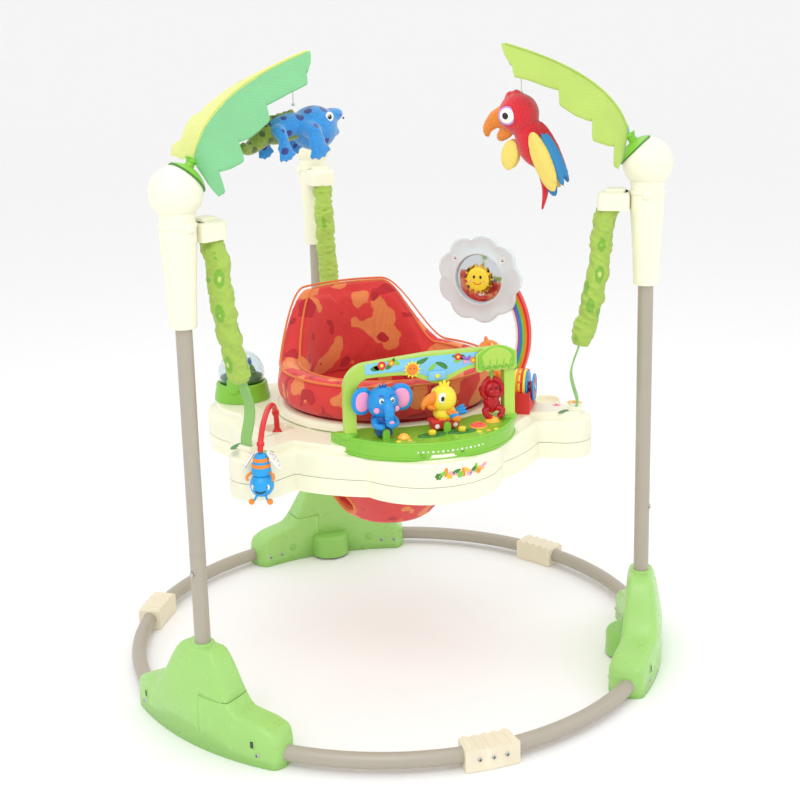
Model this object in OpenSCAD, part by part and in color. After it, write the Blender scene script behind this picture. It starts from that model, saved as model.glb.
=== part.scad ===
// Activity jumper: a seat in a toy tray that hangs on three springs from a ring-based frame.
// Origin: centre of the floor ring, on the floor. +Z is up and -Y is the front.
// Each post has its own frame: +X runs outwards through the post and +Z is up.

/* [Floor ring] */
// Radius of the floor ring's centreline
ring_r = 400; // [360:5:480]
// Outer diameter of the ring and leg tubes
tube_d = 22; // [18:0.5:26.5]
// Wall of the tubes
tube_wall = 1.4; // [1:0.1:2]
// Height of the ring tube's underside over the floor
ring_lift = 7; // [6:0.5:12]
// Length of a ring connector along the ring
connector_len = 74; // [60:2:90]
// Plastic on each side of the tube in a ring connector
connector_wall = 7; // [5.5:0.5:10]

/* [Feet] */
// Half of a foot's width across its post
foot_half = 142; // [110:2:170]
// Height of the hump that holds the leg
foot_hump_h = 138; // [115:1:165]
// Height of the foot's shoulders
foot_shoulder_h = 62; // [50:1:75]
// Plastic round the tube in a foot, inside and outside
foot_side = 10; // [8:0.5:14]
// Wall of the foot's shells
foot_wall = 3; // [2:0.5:4]
// How far the leg stands inside the ring's centreline
leg_inset = 12; // [8:1:16]
// Place of the upright seam beside the leg
foot_seam_y = 20; // [18:1:30]
// Height of the level seam of the foot's cover
foot_seam_z = 78; // [66:1:90]

/* [Legs] */
// Height of the joint between the two leg tubes
leg_seam_z = 268; // [215:1:325]
// Length of the upper leg's spigot inside the lower leg
spigot_len = 46; // [38:1:60]
// Depth of the snap button below the seam
button_drop = 27; // [20:1:32]
// Diameter of the snap button
button_d = 7; // [5:0.5:8]
// Travel of the snap button
button_travel = 2.5; // [1.5:0.5:3]

/* [Towers] */
// Height of the centre of the ball on each post
ball_z = 756; // [630:1:910]
// Outer diameter of the ball
ball_d = 71; // [64:1:85]
// Wall of the ball and the housing
ball_wall = 2; // [1.5:0.5:3]
// Length of the housing below the ball's centre
housing_len = 176; // [150:1:200]
// Radius of the housing at its neck
housing_top_r = 24.5; // [22:0.5:28]
// Radius of the housing at its lower end
housing_low_r = 18; // [15.5:0.5:20]
// Depth of the leg inside the housing
leg_grip = 62; // [45:1:75]
// Tilt of the ball's mouth from upright, towards the centre
mouth_tilt = 45; // [40:1:50]
// Radius of the ball's mouth
mouth_r = 25; // [22:0.5:27]

/* [Springs and straps] */
// Distance of a spring's upper end inside its post
spring_top_in = 50; // [46:1:56]
// Lean of the spring towards the centre, over its length
spring_lean = 44; // [10:1:50]
// Length of the spring and its sleeve
spring_len = 216; // [170:1:260]
// Mean radius of the spring's coils
spring_r = 8; // [6:0.5:9]
// Radius of the spring's wire
wire_r = 1.2; // [1:0.1:1.5]
// Outer radius of the fabric sleeve
sleeve_r = 15; // [13:0.5:16]
// Width of the strap webbing
strap_w = 17; // [14:1:20]
// Thickness of the strap webbing
strap_t = 2.5; // [2:0.5:4]

/* [Tray] */
// Radius of the round middle of the tray
tray_r = 240; // [228:2:260]
// Underside of the tray at rest
tray_z = 323; // [290:1:360]
// Height of the lower tray shell
tray_low_h = 24; // [20:1:30]
// Height of the upper tray shell's rim
tray_top_h = 33; // [26:1:40]
// Rise of the tray's raised middle over its rim
tray_crown = 10; // [6:1:14]
// Wall of the tray shells
tray_wall = 3; // [2:0.5:4]
// Reach of a toy station's edge from the middle
station_reach = 284; // [272:1:296]
// Radius of a toy station's round edge
station_r = 108; // [96:2:120]
// Reach of a strap lobe's end from the middle
lobe_reach = 312; // [290:2:325]
// Width of a strap lobe
lobe_w = 78; // [60:2:90]
// Width of the level border round the raised middle
border_w = 14; // [12:1:18]

/* [Seat] */
// Radius of the hole that the seat turns in
seat_hole_r = 152; // [126:1:160]
// Height of the seat ring's rim over the tray
seat_rim_h = 10; // [6:1:14]
// Width of the seat ring's rim beyond the hole
seat_rim_w = 20; // [17:1:22]
// Height of the padded ring over the seat's rim
bolster_h = 62; // [45:1:80]
// Width of the padded ring
bolster_w = 46; // [36:1:52]
// Height of the padded back over the seat's rim
back_h = 160; // [120:2:200]
// Half of the angle that the padded back covers
back_half_angle = 48; // [35:1:60]
// Direction of the middle of the back
back_angle = 100; // [80:1:120]
// Depth of the fabric seat below the tray's top
sling_depth = 175; // [130:5:200]
// Thickness of the fabric seat
sling_t = 4; // [3:0.5:6]
// Radius of a leg hole in the fabric seat
leg_hole_r = 52; // [40:1:56]

/* [Console] */
// Radius of the console's front edge
console_r = 140; // [136:1:146]
// Distance of the console's centre in front of the seat's
console_y = 130; // [126:1:132]
// Distance of the console's centre to the right of the seat's
console_x = 4; // [0:1:8]
// Height of the console's base
console_h = 13; // [10:1:18]
// Half of the arch's width
arch_half = 126; // [120:1:127]
// Height of the arch over the console's base
arch_h = 108; // [100:1:125]
// Width of the arch's legs
arch_leg_w = 16; // [12:1:20]
// Depth of the arch from front to back
arch_t = 14; // [10:1:16]
// Distance of the arch in front of the seat's centre
arch_y = 186; // [182:1:190]
// Play of an axle or a pin in its hole
run_gap = 0.05; // [0.02:0.01:0.09]

/* [Toys] */
// Radius of the clear bubble
bubble_r = 36; // [30:1:38]
// Radius of the picture roller
roller_r = 27; // [22:1:29]
// Width of the picture roller
roller_w = 24; // [18:1:28]
// Radius of the cloud mirror's frame
cloud_r = 74; // [66:1:78]
// Height of the cloud mirror's centre over the tray
cloud_h = 156; // [145:1:170]
// Radius of the sun spinner
sun_r = 21; // [16:1:24]
// Length of a leaf from its foot to its tip, level
leaf_reach = 181; // [150:1:220]
// Width of one side of a leaf
leaf_w = 76; // [55:1:85]
// Thickness of a leaf
leaf_t = 2.4; // [1.6:0.2:4]
// Length of the cord that a plush toy hangs on
hang_len = 58; // [45:1:70]

/* [Hidden] */

// Directions of the posts, in the order left, right, back, and of the ring connectors
POSTS = [210, 330, 90];
CONNECTORS = [270, 30, 150];
LEFT = 0;
RIGHT = 1;
BACK = 2;

CREAM = [0.97, 0.96, 0.87];
BONE = [0.93, 0.9, 0.8];
APPLE = [0.62, 0.83, 0.47];
GREEN = [0.45, 0.76, 0.2];
TAUPE = [0.68, 0.64, 0.58];
RED = [0.9, 0.2, 0.2];
BLUE = [0.08, 0.58, 0.9];
YELLOW = [0.98, 0.86, 0.2];
ORANGE = [0.96, 0.55, 0.15];
STEEL = [0.75, 0.76, 0.78];

// Facets of a round cut through something small, and of anything as wide as the ring
FINE = 48;
WIDE = 180;

tube_r = tube_d / 2;
bore_r = tube_r - tube_wall;
ring_z = ring_lift + tube_r;
post_r = ring_r - leg_inset;
clamp_gap = 0.2;
piece_gap = 0.5;

connector_half = connector_len / 2 / ring_r * 180 / PI;
connector_out = tube_r + connector_wall;
connector_top = ring_z + tube_r + 3;
rib_count = 5;
tube_end_gap = 0.15;

foot_in = post_r - tube_r - foot_side;
foot_out = ring_r + tube_r + foot_side;
foot_top_out = post_r + tube_r + foot_side;
foot_angle = asin(min(0.9, (foot_half + 20) / foot_in));
tab_r = 34;
tab_h = 40;
leg_foot_z = ring_z + tube_r + 3;
socket_r = tube_r + 4;

button_r = button_d / 2;
button_z = leg_seam_z - button_drop;
spigot_r = bore_r - 0.15;
spigot_bore = spigot_r - 1.2;
leg_top_z = ball_z - housing_len + leg_grip - 2;

ball_r = ball_d / 2;
cap_r = ball_r - ball_wall - piece_gap;
housing_z = ball_z - housing_len;
neck_z = ball_z - ball_r - 6;
stem_len = 46;
stem_tilt = 34;
stem_r = 5.5;
leaf_turn = [-12, -5, 0];

screw_r = 1.6;
head_r = 3.4;
head_h = 1.8;
screw_len = 6;

hook_r = 2;
hook_z = neck_z - 7;
holder_h = 25;
holder_room = 3;
holder_wall = 2.5;
spring_top_z = hook_z - hook_r - wire_r - 0.3;
spring_x = post_r - spring_top_in;
coil_turns = 15;
rings_per_turn = 10;

tray_seam_z = tray_z + tray_low_h;
rim_z = tray_seam_z + tray_top_h;
deck_z = rim_z + tray_crown;
station_c = station_reach - station_r;
lobe_r = lobe_w / 2;
strap_x = lobe_reach - border_w - 10;

rim_out = seat_hole_r + seat_rim_w;
glide_r = 6;
glide_h = 1.5;
ring_low_z = deck_z + glide_h + 0.1;
ring_top_z = ring_low_z + seat_rim_h;
ring_wall = 3;
ring_tube_r = seat_hole_r - piece_gap;
lock_lip = 6;
bolster_out = rim_out - 3;
bolster_in = bolster_out - bolster_w;
sling_top_r = ring_tube_r - ring_wall - 2;
sling_low_r = 62;
sling_z = deck_z - sling_depth;

// The spring keeps its length unless low balls would bring it down to the tray
strap_rise = 30;
spring_run = min(spring_len, spring_top_z - deck_z - strap_rise);
spring_low_z = spring_top_z - spring_run;
spring_shift = spring_lean * spring_run / spring_len;
sleeve_low_x = spring_x - spring_shift;
deck_top = deck_z + console_h;
pivot_rise = 10;
pin_r = 2.5;
block_y = 20;
elephant_x = -72;
bird_x = 17;
monkey_x = 96.5;
toy_y = -206;
slide_x = [-8, 36];
slide_y = -226;
slide_slot = 11;
slide_neck_r = 2.6;
gem_places = [[-48, -222, 8], [66, -212, 11], [94, -196, 10]];
canopy_z = deck_top + arch_h - 24;

bubble_at = 232;
bubble_angle = 150;
bubble_z = deck_z + bubble_r + 4;
bubble_pin_r = 3;
roller_at = 208;
roller_angle = 328;
roller_z = deck_z + roller_r + 6;
axle_r = 3;
cloud_at = 234;
cloud_angle = 30;
cloud_face = 225;
cloud_z = deck_z + cloud_h;
cloud_t = 10;
tiger_at = 207;
tiger_angle = 18;
tiger_pin_r = 4;
stem_x = -190;
stem_y = -69;
stem_turn = 247.6;
bug_reach = 142;
bug_socket_r = 4;
cup_r = 20;
cup_depth = 12;
dish_r = 20;
dish_at = [244, 341];
door_w = 90;
door_d = 50;
door_at = [0, -212];

// ---- Shared shapes ----

// Everything inside is drawn in the frame of the post, or the direction, a
module turned(a) {
    rotate([0, 0, a]) children();
}

// Part of a round tube laid along the floor ring, from angle a0 to a1
module ring_rod(r, a0, a1) {
    rotate([0, 0, a0])
        rotate_extrude(angle = a1 - a0, $fn = WIDE)
            translate([ring_r, ring_z]) circle(r = r, $fn = FINE);
}

// A flat outline in X and Z, given a thickness t from front to back, centred on Y
module upright(t) {
    rotate([90, 0, 0]) translate([0, 0, -t / 2]) linear_extrude(height = t) children();
}

// Points along an arc of radius r round c, from a0 to a1
function arc(c, r, a0, a1, n = 8) =
    [for (i = [0:n]) c + r * [cos(a0 + (a1 - a0) * i / n), sin(a0 + (a1 - a0) * i / n)]];

// Unit vector
function unit(v) = v / norm(v);

// Direction of a path at its point i
function heading(path, i) =
    unit(path[min(i + 1, len(path) - 1)] - path[max(i - 1, 0)]);

// A closed tube of radius r along a path; ref is a direction that the path never takes
module swept_tube(path, r, sides, ref) {
    count = len(path);
    points = [
        for (i = [0:count - 1])
            let (t = heading(path, i), a = unit(cross(t, ref)), b = cross(a, t))
            for (k = [0:sides - 1])
                path[i] + r * (cos(360 * k / sides) * a + sin(360 * k / sides) * b)
    ];
    walls = [
        for (i = [0:count - 2]) for (k = [0:sides - 1])
            let (n = (k + 1) % sides, p = i * sides, q = p + sides)
            [p + k, p + n, q + n, q + k]
    ];
    first = [[for (k = [sides - 1:-1:0]) k]];
    last = [[for (k = [0:sides - 1]) (count - 1) * sides + k]];
    polyhedron(points, concat(walls, first, last), convexity = 6);
}

// ---- Frame ----

module base_tube(i) {
    color(TAUPE) turned(POSTS[i]) difference() {
        ring_rod(tube_r, -60 + tube_end_gap, 60 - tube_end_gap);
        ring_rod(bore_r, -61, 61);
    }
}

// One clamp block over the joint of two ring tubes, with raised ribs on top
module ring_connector(a) {
    rib_step = 2 * connector_half / rib_count;
    turned(a) difference() {
        union() {
            rotate([0, 0, -connector_half])
                rotate_extrude(angle = 2 * connector_half, $fn = WIDE)
                    translate([ring_r - connector_out, 0.6])
                        square([2 * connector_out, connector_top - 0.6]);
            for (k = [0:rib_count - 1])
                turned(-connector_half + (k + 0.5) * rib_step)
                    translate([ring_r - connector_out + 1, 0, connector_top - 2.5])
                        rotate([0, 90, 0])
                            cylinder(r = 5.2, h = 2 * connector_out - 2, $fn = FINE);
        }
        ring_rod(tube_r + clamp_gap, -connector_half - 1, connector_half + 1);
        for (k = [-1:1])
            turned(k * connector_half / 2)
                translate([ring_r + connector_out, 0, ring_z]) screw_hole();
    }
}

module ring_connectors() {
    color(BONE) for (a = CONNECTORS) ring_connector(a);
}

// Height of the foot's outline at the distance y from its post
function foot_ease(y) = max(0, min(1, (abs(y) - 26) / 58));
function foot_round(y) = max(0, abs(y) - foot_half + 26) / 26;
function foot_top(y) =
    (foot_shoulder_h + (foot_hump_h - foot_shoulder_h) * (0.5 + 0.5 * cos(180 * foot_ease(y)))
        - 8 * max(0, min(1, (abs(y) - 84) / 40)))
    * (0.25 + 0.75 * sqrt(max(0, 1 - pow(foot_round(y), 2))));

// The foot's solid form, drawn in by inset on every side but the floor
module foot_form(inset) {
    low = inset > 0 ? -1 : 0;
    half = foot_half - inset;
    steps = 44;
    outline = concat(
        [[-half, low]],
        [for (k = [0:steps]) let (y = -half + 2 * half * k / steps)
            [y, foot_top(y * foot_half / half) - inset]],
        [[half, low]]);
    intersection() {
        rotate([0, 0, -foot_angle])
            rotate_extrude(angle = 2 * foot_angle, $fn = WIDE)
                polygon([
                    [foot_in + inset, low], [foot_out - inset, low],
                    [foot_out - inset, foot_shoulder_h],
                    [foot_top_out - inset, foot_hump_h], [foot_in + inset, foot_hump_h]]);
        translate([foot_in - 60, 0, 0]) rotate([90, 0, 90])
            linear_extrude(height = foot_out - foot_in + 120) polygon(outline);
    }
}

// Places of the foot's screws: [angle from the post, radius, whether on the outer face]
function foot_screws() =
    let (far = asin(118 / 142 * foot_half / foot_out),
        near = asin(96 / 142 * foot_half / foot_in),
        last = asin(118 / 142 * foot_half / foot_in))
    [[-far, foot_out, true], [far, foot_out, true],
        [-near, foot_in, false], [near, foot_in, false],
        [-last, foot_in, false], [last, foot_in, false]];

// The foot's two shells together, before they part at the seam
module foot_shell() {
    difference() {
        foot_form(0);
        foot_form(foot_wall);
        ring_rod(tube_r + clamp_gap, -foot_angle - 4, foot_angle + 4);
        for (s = foot_screws())
            turned(s[0]) translate([s[1], 0, ring_z]) rotate([0, 0, s[2] ? 0 : 180]) screw_hole();
    }
}

// The block that the cover fills, less a gap on the sides that meet the foot
module cover_block(gap) {
    translate([foot_in - 60, foot_seam_y + gap, -2])
        cube([foot_out - foot_in + 120, foot_half + 40, foot_seam_z + 2 - gap]);
}

module foot(i) {
    color(APPLE) turned(POSTS[i]) difference() {
        union() {
            difference() {
                foot_shell();
                cover_block(0);
            }
            translate([post_r, 0, ring_z + tube_r + clamp_gap])
                cylinder(r = socket_r, h = foot_hump_h - ring_z - tube_r - foot_wall, $fn = FINE);
            difference() {
                translate([foot_in + 2, 0, 0]) cylinder(r = tab_r, h = tab_h, $fn = WIDE);
                translate([foot_in + 2, 0, -1])
                    cylinder(r = tab_r - foot_wall, h = tab_h - foot_wall + 1, $fn = WIDE);
                translate([foot_in + foot_wall, -tab_r - 1, -1]) cube([tab_r, 2 * tab_r + 2, tab_h + 2]);
                cover_block(0);
            }
        }
        translate([post_r, 0, leg_foot_z])
            cylinder(r = tube_r + run_gap, h = foot_hump_h, $fn = FINE);
    }
}

module foot_covers() {
    color(APPLE) for (a = POSTS) turned(a) intersection() {
        foot_shell();
        cover_block(0.3);
    }
}

module leg_lower(i) {
    color(TAUPE) turned(POSTS[i]) translate([post_r, 0, 0]) difference() {
        translate([0, 0, leg_foot_z]) cylinder(r = tube_r, h = leg_seam_z - leg_foot_z, $fn = FINE);
        cylinder(r = bore_r, h = leg_seam_z + 1, $fn = FINE);
        translate([0, 0, button_z]) rotate([0, 90, 0])
            cylinder(r = button_r + run_gap, h = tube_d, $fn = FINE);
    }
}

module leg_upper(i) {
    color(TAUPE) turned(POSTS[i]) translate([post_r, 0, 0]) difference() {
        rotate_extrude($fn = FINE) polygon([
            [spigot_bore, leg_seam_z - spigot_len], [spigot_r, leg_seam_z - spigot_len],
            [spigot_r, leg_seam_z + 0.3], [tube_r, leg_seam_z + 0.3],
            [tube_r, leg_top_z], [bore_r, leg_top_z],
            [bore_r, leg_seam_z + 8], [spigot_bore, leg_seam_z + 4]]);
        translate([0, 0, button_z]) rotate([0, 90, 0])
            cylinder(r = button_r + run_gap, h = tube_d, $fn = FINE);
    }
}

module snap_button(i) {
    flange_x = spigot_bore - 4;
    color(STEEL) turned(POSTS[i]) translate([post_r, 0, button_z]) rotate([0, 90, 0]) {
        translate([0, 0, flange_x]) cylinder(r = button_r + 1, h = 1.5, $fn = FINE);
        translate([0, 0, flange_x]) cylinder(r = button_r, h = tube_r + 2 - flange_x, $fn = FINE);
    }
}

// Mouth of the ball: a round cut that looks up and towards the centre
module mouth() {
    translate([0, 0, ball_z]) rotate([0, -mouth_tilt, 0]) cylinder(r = mouth_r, h = ball_d, $fn = FINE);
}

// Hood on the housing's inner side that the spring hangs in, drawn in by inset
module spring_holder(inset) {
    reach = sleeve_r + holder_room + holder_wall - inset;
    translate([spring_x - reach, -reach, neck_z - holder_h - (inset > 0 ? 1 : 0)])
        cube([post_r - spring_x + reach - 8, 2 * reach, holder_h + (inset > 0 ? 1 - inset : 0)]);
}

module spring_housing(i) {
    wall = holder_wall;
    color(CREAM) turned(POSTS[i]) {
        difference() {
            union() {
                translate([post_r, 0, 0]) rotate_extrude($fn = FINE) polygon([
                    [0, housing_z], [housing_low_r, housing_z], [housing_top_r, neck_z - 14],
                    [housing_top_r - 2, neck_z + 10], [0, neck_z + 10]]);
                translate([post_r, 0, ball_z]) sphere(r = ball_r, $fn = FINE);
                for (s = [-1, 1]) translate([post_r, s * (housing_top_r - 2), neck_z - 2])
                    sphere(r = 7, $fn = FINE);
                spring_holder(0);
            }
            translate([post_r, 0, 0]) {
                rotate_extrude($fn = FINE) polygon([
                    [0, housing_z + leg_grip + 4], [housing_low_r - wall, housing_z + leg_grip + 4],
                    [housing_top_r - 2 - wall, neck_z - 14], [housing_top_r - 2 - wall, neck_z],
                    [0, neck_z]]);
                translate([0, 0, ball_z]) sphere(r = ball_r - ball_wall, $fn = FINE);
                translate([0, 0, housing_z - 1])
                    cylinder(r = tube_r + run_gap, h = leg_grip + 1, $fn = FINE);
                mouth();
            }
            spring_holder(wall);
        }
        translate([spring_x, 0, hook_z]) rotate([90, 0, 0])
            cylinder(r = hook_r, h = 2 * sleeve_r + 6, center = true, $fn = FINE);
    }
}

// Frame of a post's leaf: the post's own frame turned about the post by the leaf's rest turn
module leaf_turned(i) {
    turned(POSTS[i]) translate([post_r, 0, 0]) rotate([0, 0, leaf_turn[i]]) translate([-post_r, 0, 0])
        children();
}

// The ball that turns inside the housing; a leaf's stem stands on it
module top_cap(i, with_stem) {
    flat = cap_r * 0.9;
    stem_low = cap_r - 4;
    color(GREEN) leaf_turned(i) translate([post_r, 0, ball_z]) {
        rotate([0, -mouth_tilt, 0]) difference() {
            sphere(r = cap_r, $fn = FINE);
            translate([0, 0, flat]) cylinder(r = cap_r, h = cap_r, $fn = FINE);
            translate([0, 0, -cap_r - 1]) cylinder(r = cap_r + 1, h = cap_r - 4, $fn = FINE);
            translate([0, 0, -6]) sphere(r = cap_r - 6, $fn = FINE);
        }
        if (with_stem) rotate([0, -stem_tilt, 0]) translate([0, 0, stem_low])
            cylinder(r = stem_r, h = stem_len - stem_low, $fn = FINE);
    }
}

// A pan-head screw whose head sits on a face that looks along +X
module screw() {
    rotate([0, 90, 0]) {
        cylinder(r = head_r, h = head_h, $fn = 32);
        translate([0, 0, -screw_len + 1]) cylinder(r = screw_r, h = screw_len, $fn = 32);
    }
}

module screw_hole() {
    rotate([0, 90, 0]) translate([0, 0, -screw_len]) cylinder(r = screw_r + run_gap, h = screw_len + 4, $fn = 32);
}

module frame_screws() {
    color(STEEL) {
        for (a = CONNECTORS) for (k = [-1:1])
            turned(a + k * connector_half / 2) translate([ring_r + connector_out + 0.1, 0, ring_z]) screw();
        for (a = POSTS) for (s = foot_screws())
            turned(a + s[0]) translate([s[1] + (s[2] ? 0.1 : -0.1), 0, ring_z])
                rotate([0, 0, s[2] ? 0 : 180]) screw();
    }
}

// ---- Springs, sleeves and straps ----

// Distance from the middle of the jumper to the spring's axis at height z
function spring_axis_x(z) = spring_x - spring_shift * (spring_top_z - z) / spring_run;

module bounce_springs() {
    steps = coil_turns * rings_per_turn;
    pull = 10;
    path = [for (k = [0:steps])
        let (z = spring_top_z - (spring_run - pull) * k / steps, a = 360 * k / rings_per_turn)
        [spring_axis_x(z) + spring_r * cos(a), spring_r * sin(a), z]];
    color(STEEL) for (a = POSTS) turned(a) swept_tube(path, wire_r, 6, [0, 0, 1]);
}

module spring_sleeves() {
    lean = atan(spring_shift / spring_run);
    color(APPLE) for (a = POSTS) turned(a)
        translate([spring_x, 0, spring_top_z]) rotate([0, lean, 0]) translate([0, 0, -spring_run])
            difference() {
                cylinder(r = sleeve_r, h = spring_run - 6, $fn = FINE);
                translate([0, 0, 4]) cylinder(r = sleeve_r - 3, h = spring_run, $fn = FINE);
            }
}

// Webbing from the sleeve's lower end down to the tray's lobe
module hanger_straps() {
    top = spring_low_z - 4;
    end = deck_z + 0.05;
    color(APPLE) for (a = POSTS) turned(a) {
        upright(strap_w) polygon([
            [sleeve_low_x - strap_t / 2, top], [sleeve_low_x + strap_t / 2, top],
            [strap_x + strap_t / 2, end + 6], [strap_x + strap_t / 2, end],
            [strap_x - strap_t / 2, end], [strap_x - strap_t / 2, end + 6]]);
        translate([strap_x - 8, -strap_w / 2 - 4, end]) cube([16, strap_w + 8, 5]);
    }
}

// ---- Leaves and hanging toys ----

// Point of a leaf's midrib: a quadratic arch in a post's plane, from the stem to the tip
function rib_foot() =
    [post_r - stem_len * sin(stem_tilt) - 3, ball_z + stem_len * cos(stem_tilt) + 2 + leaf_t];
function rib_knee() = rib_foot() + [-0.1 * leaf_reach, 0.44 * leaf_reach];
function rib_tip() = rib_foot() + [-leaf_reach, 0.7 * leaf_reach];
function rib(u) = pow(1 - u, 2) * rib_foot() + 2 * u * (1 - u) * rib_knee() + u * u * rib_tip();

// Width of one side of the leaf at u, with a notch between each pair of lobes
function leaf_side(u) =
    leaf_w * pow(max(0, sin(180 * pow(u * 0.97 + 0.02, 0.8))), 0.75)
    * (1 - 0.3 * pow(abs(cos(180 * 3.5 * u)), 4));

module leaf(i) {
    rows = 28;
    cols = 6;
    slope = 50;
    width = 2 * cols + 1;
    sheet = (rows + 1) * width;
    points = [
        for (down = [0, leaf_t]) for (j = [0:rows]) for (k = [-cols:cols])
            let (u = j / rows, p = rib(u), s = leaf_side(u) * k / cols)
            [p[0], s * cos(slope), p[1] - abs(s) * sin(slope) - down]
    ];
    // Triangles of the top, the underside and the four edges
    skin = [
        for (j = [0:rows - 1]) for (k = [0:width - 2])
            let (a = j * width + k, b = a + 1, c = a + width, d = c + 1)
            for (f = [[a, c, b], [b, c, d], [a + sheet, b + sheet, c + sheet],
                [b + sheet, d + sheet, c + sheet]]) f
    ];
    sides = [
        for (j = [0:rows - 1]) for (e = [0, width - 1])
            let (a = j * width + e, b = a + width)
            for (f = e == 0 ? [[a, a + sheet, b], [b, a + sheet, b + sheet]]
                : [[a, b, a + sheet], [b, b + sheet, a + sheet]]) f
    ];
    ends = [
        for (k = [0:width - 2]) for (e = [0, rows])
            let (a = e * width + k, b = a + 1)
            for (f = e == 0 ? [[a, b, a + sheet], [b, b + sheet, a + sheet]]
                : [[a, a + sheet, b], [b, a + sheet, b + sheet]]) f
    ];
    color(APPLE) leaf_turned(i) polyhedron(points, concat(skin, sides, ends), convexity = 8);
}

// Where a toy's cord leaves the underside of its leaf
hang_u = 0.91;
function hang_x() = rib(hang_u)[0];
function hang_z() = rib(hang_u)[1] - leaf_t - 1.3;
function toy_z() = hang_z() - hang_len;

module toy_cord(i) {
    rings = 14;
    path = [for (k = [0:rings]) [hang_x(), 0, hang_z() - hang_len * k / rings]];
    color("white") leaf_turned(i) swept_tube(path, 0.7, 8, [0, 1, 0]);
}

// A lying lizard whose back hangs on the cord
module lizard() {
    color(BLUE) leaf_turned(LEFT) translate([hang_x(), 0, toy_z() - 0.1]) {
        translate([-34, 0, -16]) rotate([0, 90, 0]) cylinder(r = 16, h = 68, $fn = FINE);
        translate([-34, 0, -16]) sphere(r = 19, $fn = FINE);
        translate([34, 0, -16]) sphere(r = 16, $fn = FINE);
        translate([34, 0, -19]) rotate([0, 100, 0]) cylinder(r1 = 12, r2 = 4, h = 44, $fn = FINE);
        for (x = [-26, 26]) for (s = [-1, 1]) translate([x, s * 17, -32]) sphere(r = 10, $fn = FINE);
    }
}

// An upright parrot with a long tail; its crown hangs on the cord
module parrot() {
    color(RED) leaf_turned(RIGHT) translate([hang_x(), 0, toy_z() - 0.1]) {
        translate([0, 0, -27]) sphere(r = 27, $fn = FINE);
        translate([0, 0, -140]) cylinder(r1 = 9, r2 = 21, h = 100, $fn = FINE);
        translate([0, 0, -178]) cylinder(r1 = 3, r2 = 9, h = 38, $fn = FINE);
        translate([-6, -20, -34]) rotate([0, 60, 250]) cylinder(r1 = 13, r2 = 4, h = 30, $fn = FINE);
        for (s = [-1, 1]) translate([0, s * 20, -84]) sphere(r = 13, $fn = FINE);
    }
}

// ---- Tray ----

// Plan of the tray: a round middle, three toy stations and three strap lobes
module tray_plan(inset) {
    circle(r = tray_r - inset, $fn = WIDE);
    for (a = CONNECTORS) rotate(a) translate([station_c, 0]) circle(r = station_r - inset, $fn = WIDE);
    for (a = POSTS) rotate(a) {
        translate([lobe_reach - lobe_r, 0]) circle(r = lobe_r - inset, $fn = WIDE);
        translate([0, -lobe_r + inset]) square([lobe_reach - lobe_r, lobe_w - 2 * inset]);
    }
}

module tray_top() {
    color(CREAM) difference() {
        union() {
            difference() {
                union() {
                    translate([0, 0, tray_seam_z]) linear_extrude(height = tray_top_h) tray_plan(0);
                    translate([0, 0, rim_z - 1]) linear_extrude(height = tray_crown + 1) tray_plan(border_w);
                }
                translate([0, 0, tray_seam_z - 1])
                    linear_extrude(height = tray_top_h + 1 - tray_wall) tray_plan(tray_wall);
                translate([0, 0, rim_z - tray_wall - 1])
                    linear_extrude(height = tray_crown + 1) tray_plan(border_w + tray_wall);
            }
            translate([0, 0, tray_seam_z])
                cylinder(r = seat_hole_r + ring_wall, h = deck_z - tray_seam_z, $fn = WIDE);
            translate([stem_x, stem_y, deck_z - cup_depth - tray_wall])
                cylinder(r = cup_r + tray_wall, h = cup_depth + tray_wall, $fn = FINE);
            turned(dish_at[1]) translate([dish_at[0], 0, rim_z - 6])
                cylinder(r = dish_r + tray_wall, h = deck_z - rim_z + 6, $fn = FINE);
            turned(tiger_angle) translate([tiger_at, 0, deck_z - 16])
                cylinder(r = tiger_pin_r + 4, h = 16, $fn = FINE);
        }
        translate([0, 0, tray_z]) cylinder(r = seat_hole_r, h = 200, $fn = WIDE);
        translate([stem_x, stem_y, deck_z - cup_depth]) cylinder(r = cup_r, h = 40, $fn = FINE);
        translate([stem_x, stem_y, deck_z - 40])
            cylinder(r = bug_socket_r + run_gap, h = 40, $fn = FINE);
        turned(dish_at[1]) translate([dish_at[0], 0, rim_z - 3]) cylinder(r = dish_r, h = 40, $fn = FINE);
        turned(tiger_angle) translate([tiger_at, 0, deck_z - 12])
            cylinder(r = tiger_pin_r + run_gap, h = 40, $fn = FINE);
        for (k = [0:5]) turned(60 * k + 30) translate([seat_hole_r + 12, 0, deck_z - 1.2])
            cylinder(r = glide_r + 0.1, h = 10, $fn = FINE);
    }
}

module tray_bottom() {
    color(CREAM) difference() {
        union() {
            difference() {
                translate([0, 0, tray_z]) linear_extrude(height = tray_low_h - 0.3) tray_plan(0);
                translate([0, 0, tray_z + tray_wall]) linear_extrude(height = tray_low_h) tray_plan(tray_wall);
            }
            translate([0, 0, tray_z]) cylinder(r = seat_hole_r + ring_wall, h = tray_low_h - 0.3, $fn = WIDE);
        }
        translate([0, 0, tray_z - 1]) cylinder(r = seat_hole_r, h = 200, $fn = WIDE);
        translate([door_at[0] - door_w / 2, door_at[1] - door_d / 2, tray_z - 1])
            cube([door_w, door_d, tray_wall + 2]);
    }
}

module battery_door() {
    gap = 0.4;
    color(CREAM) translate([door_at[0] - door_w / 2 + gap, door_at[1] - door_d / 2 + gap, tray_z])
        cube([door_w - 2 * gap, door_d - 2 * gap, tray_wall - 0.4]);
}

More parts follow.
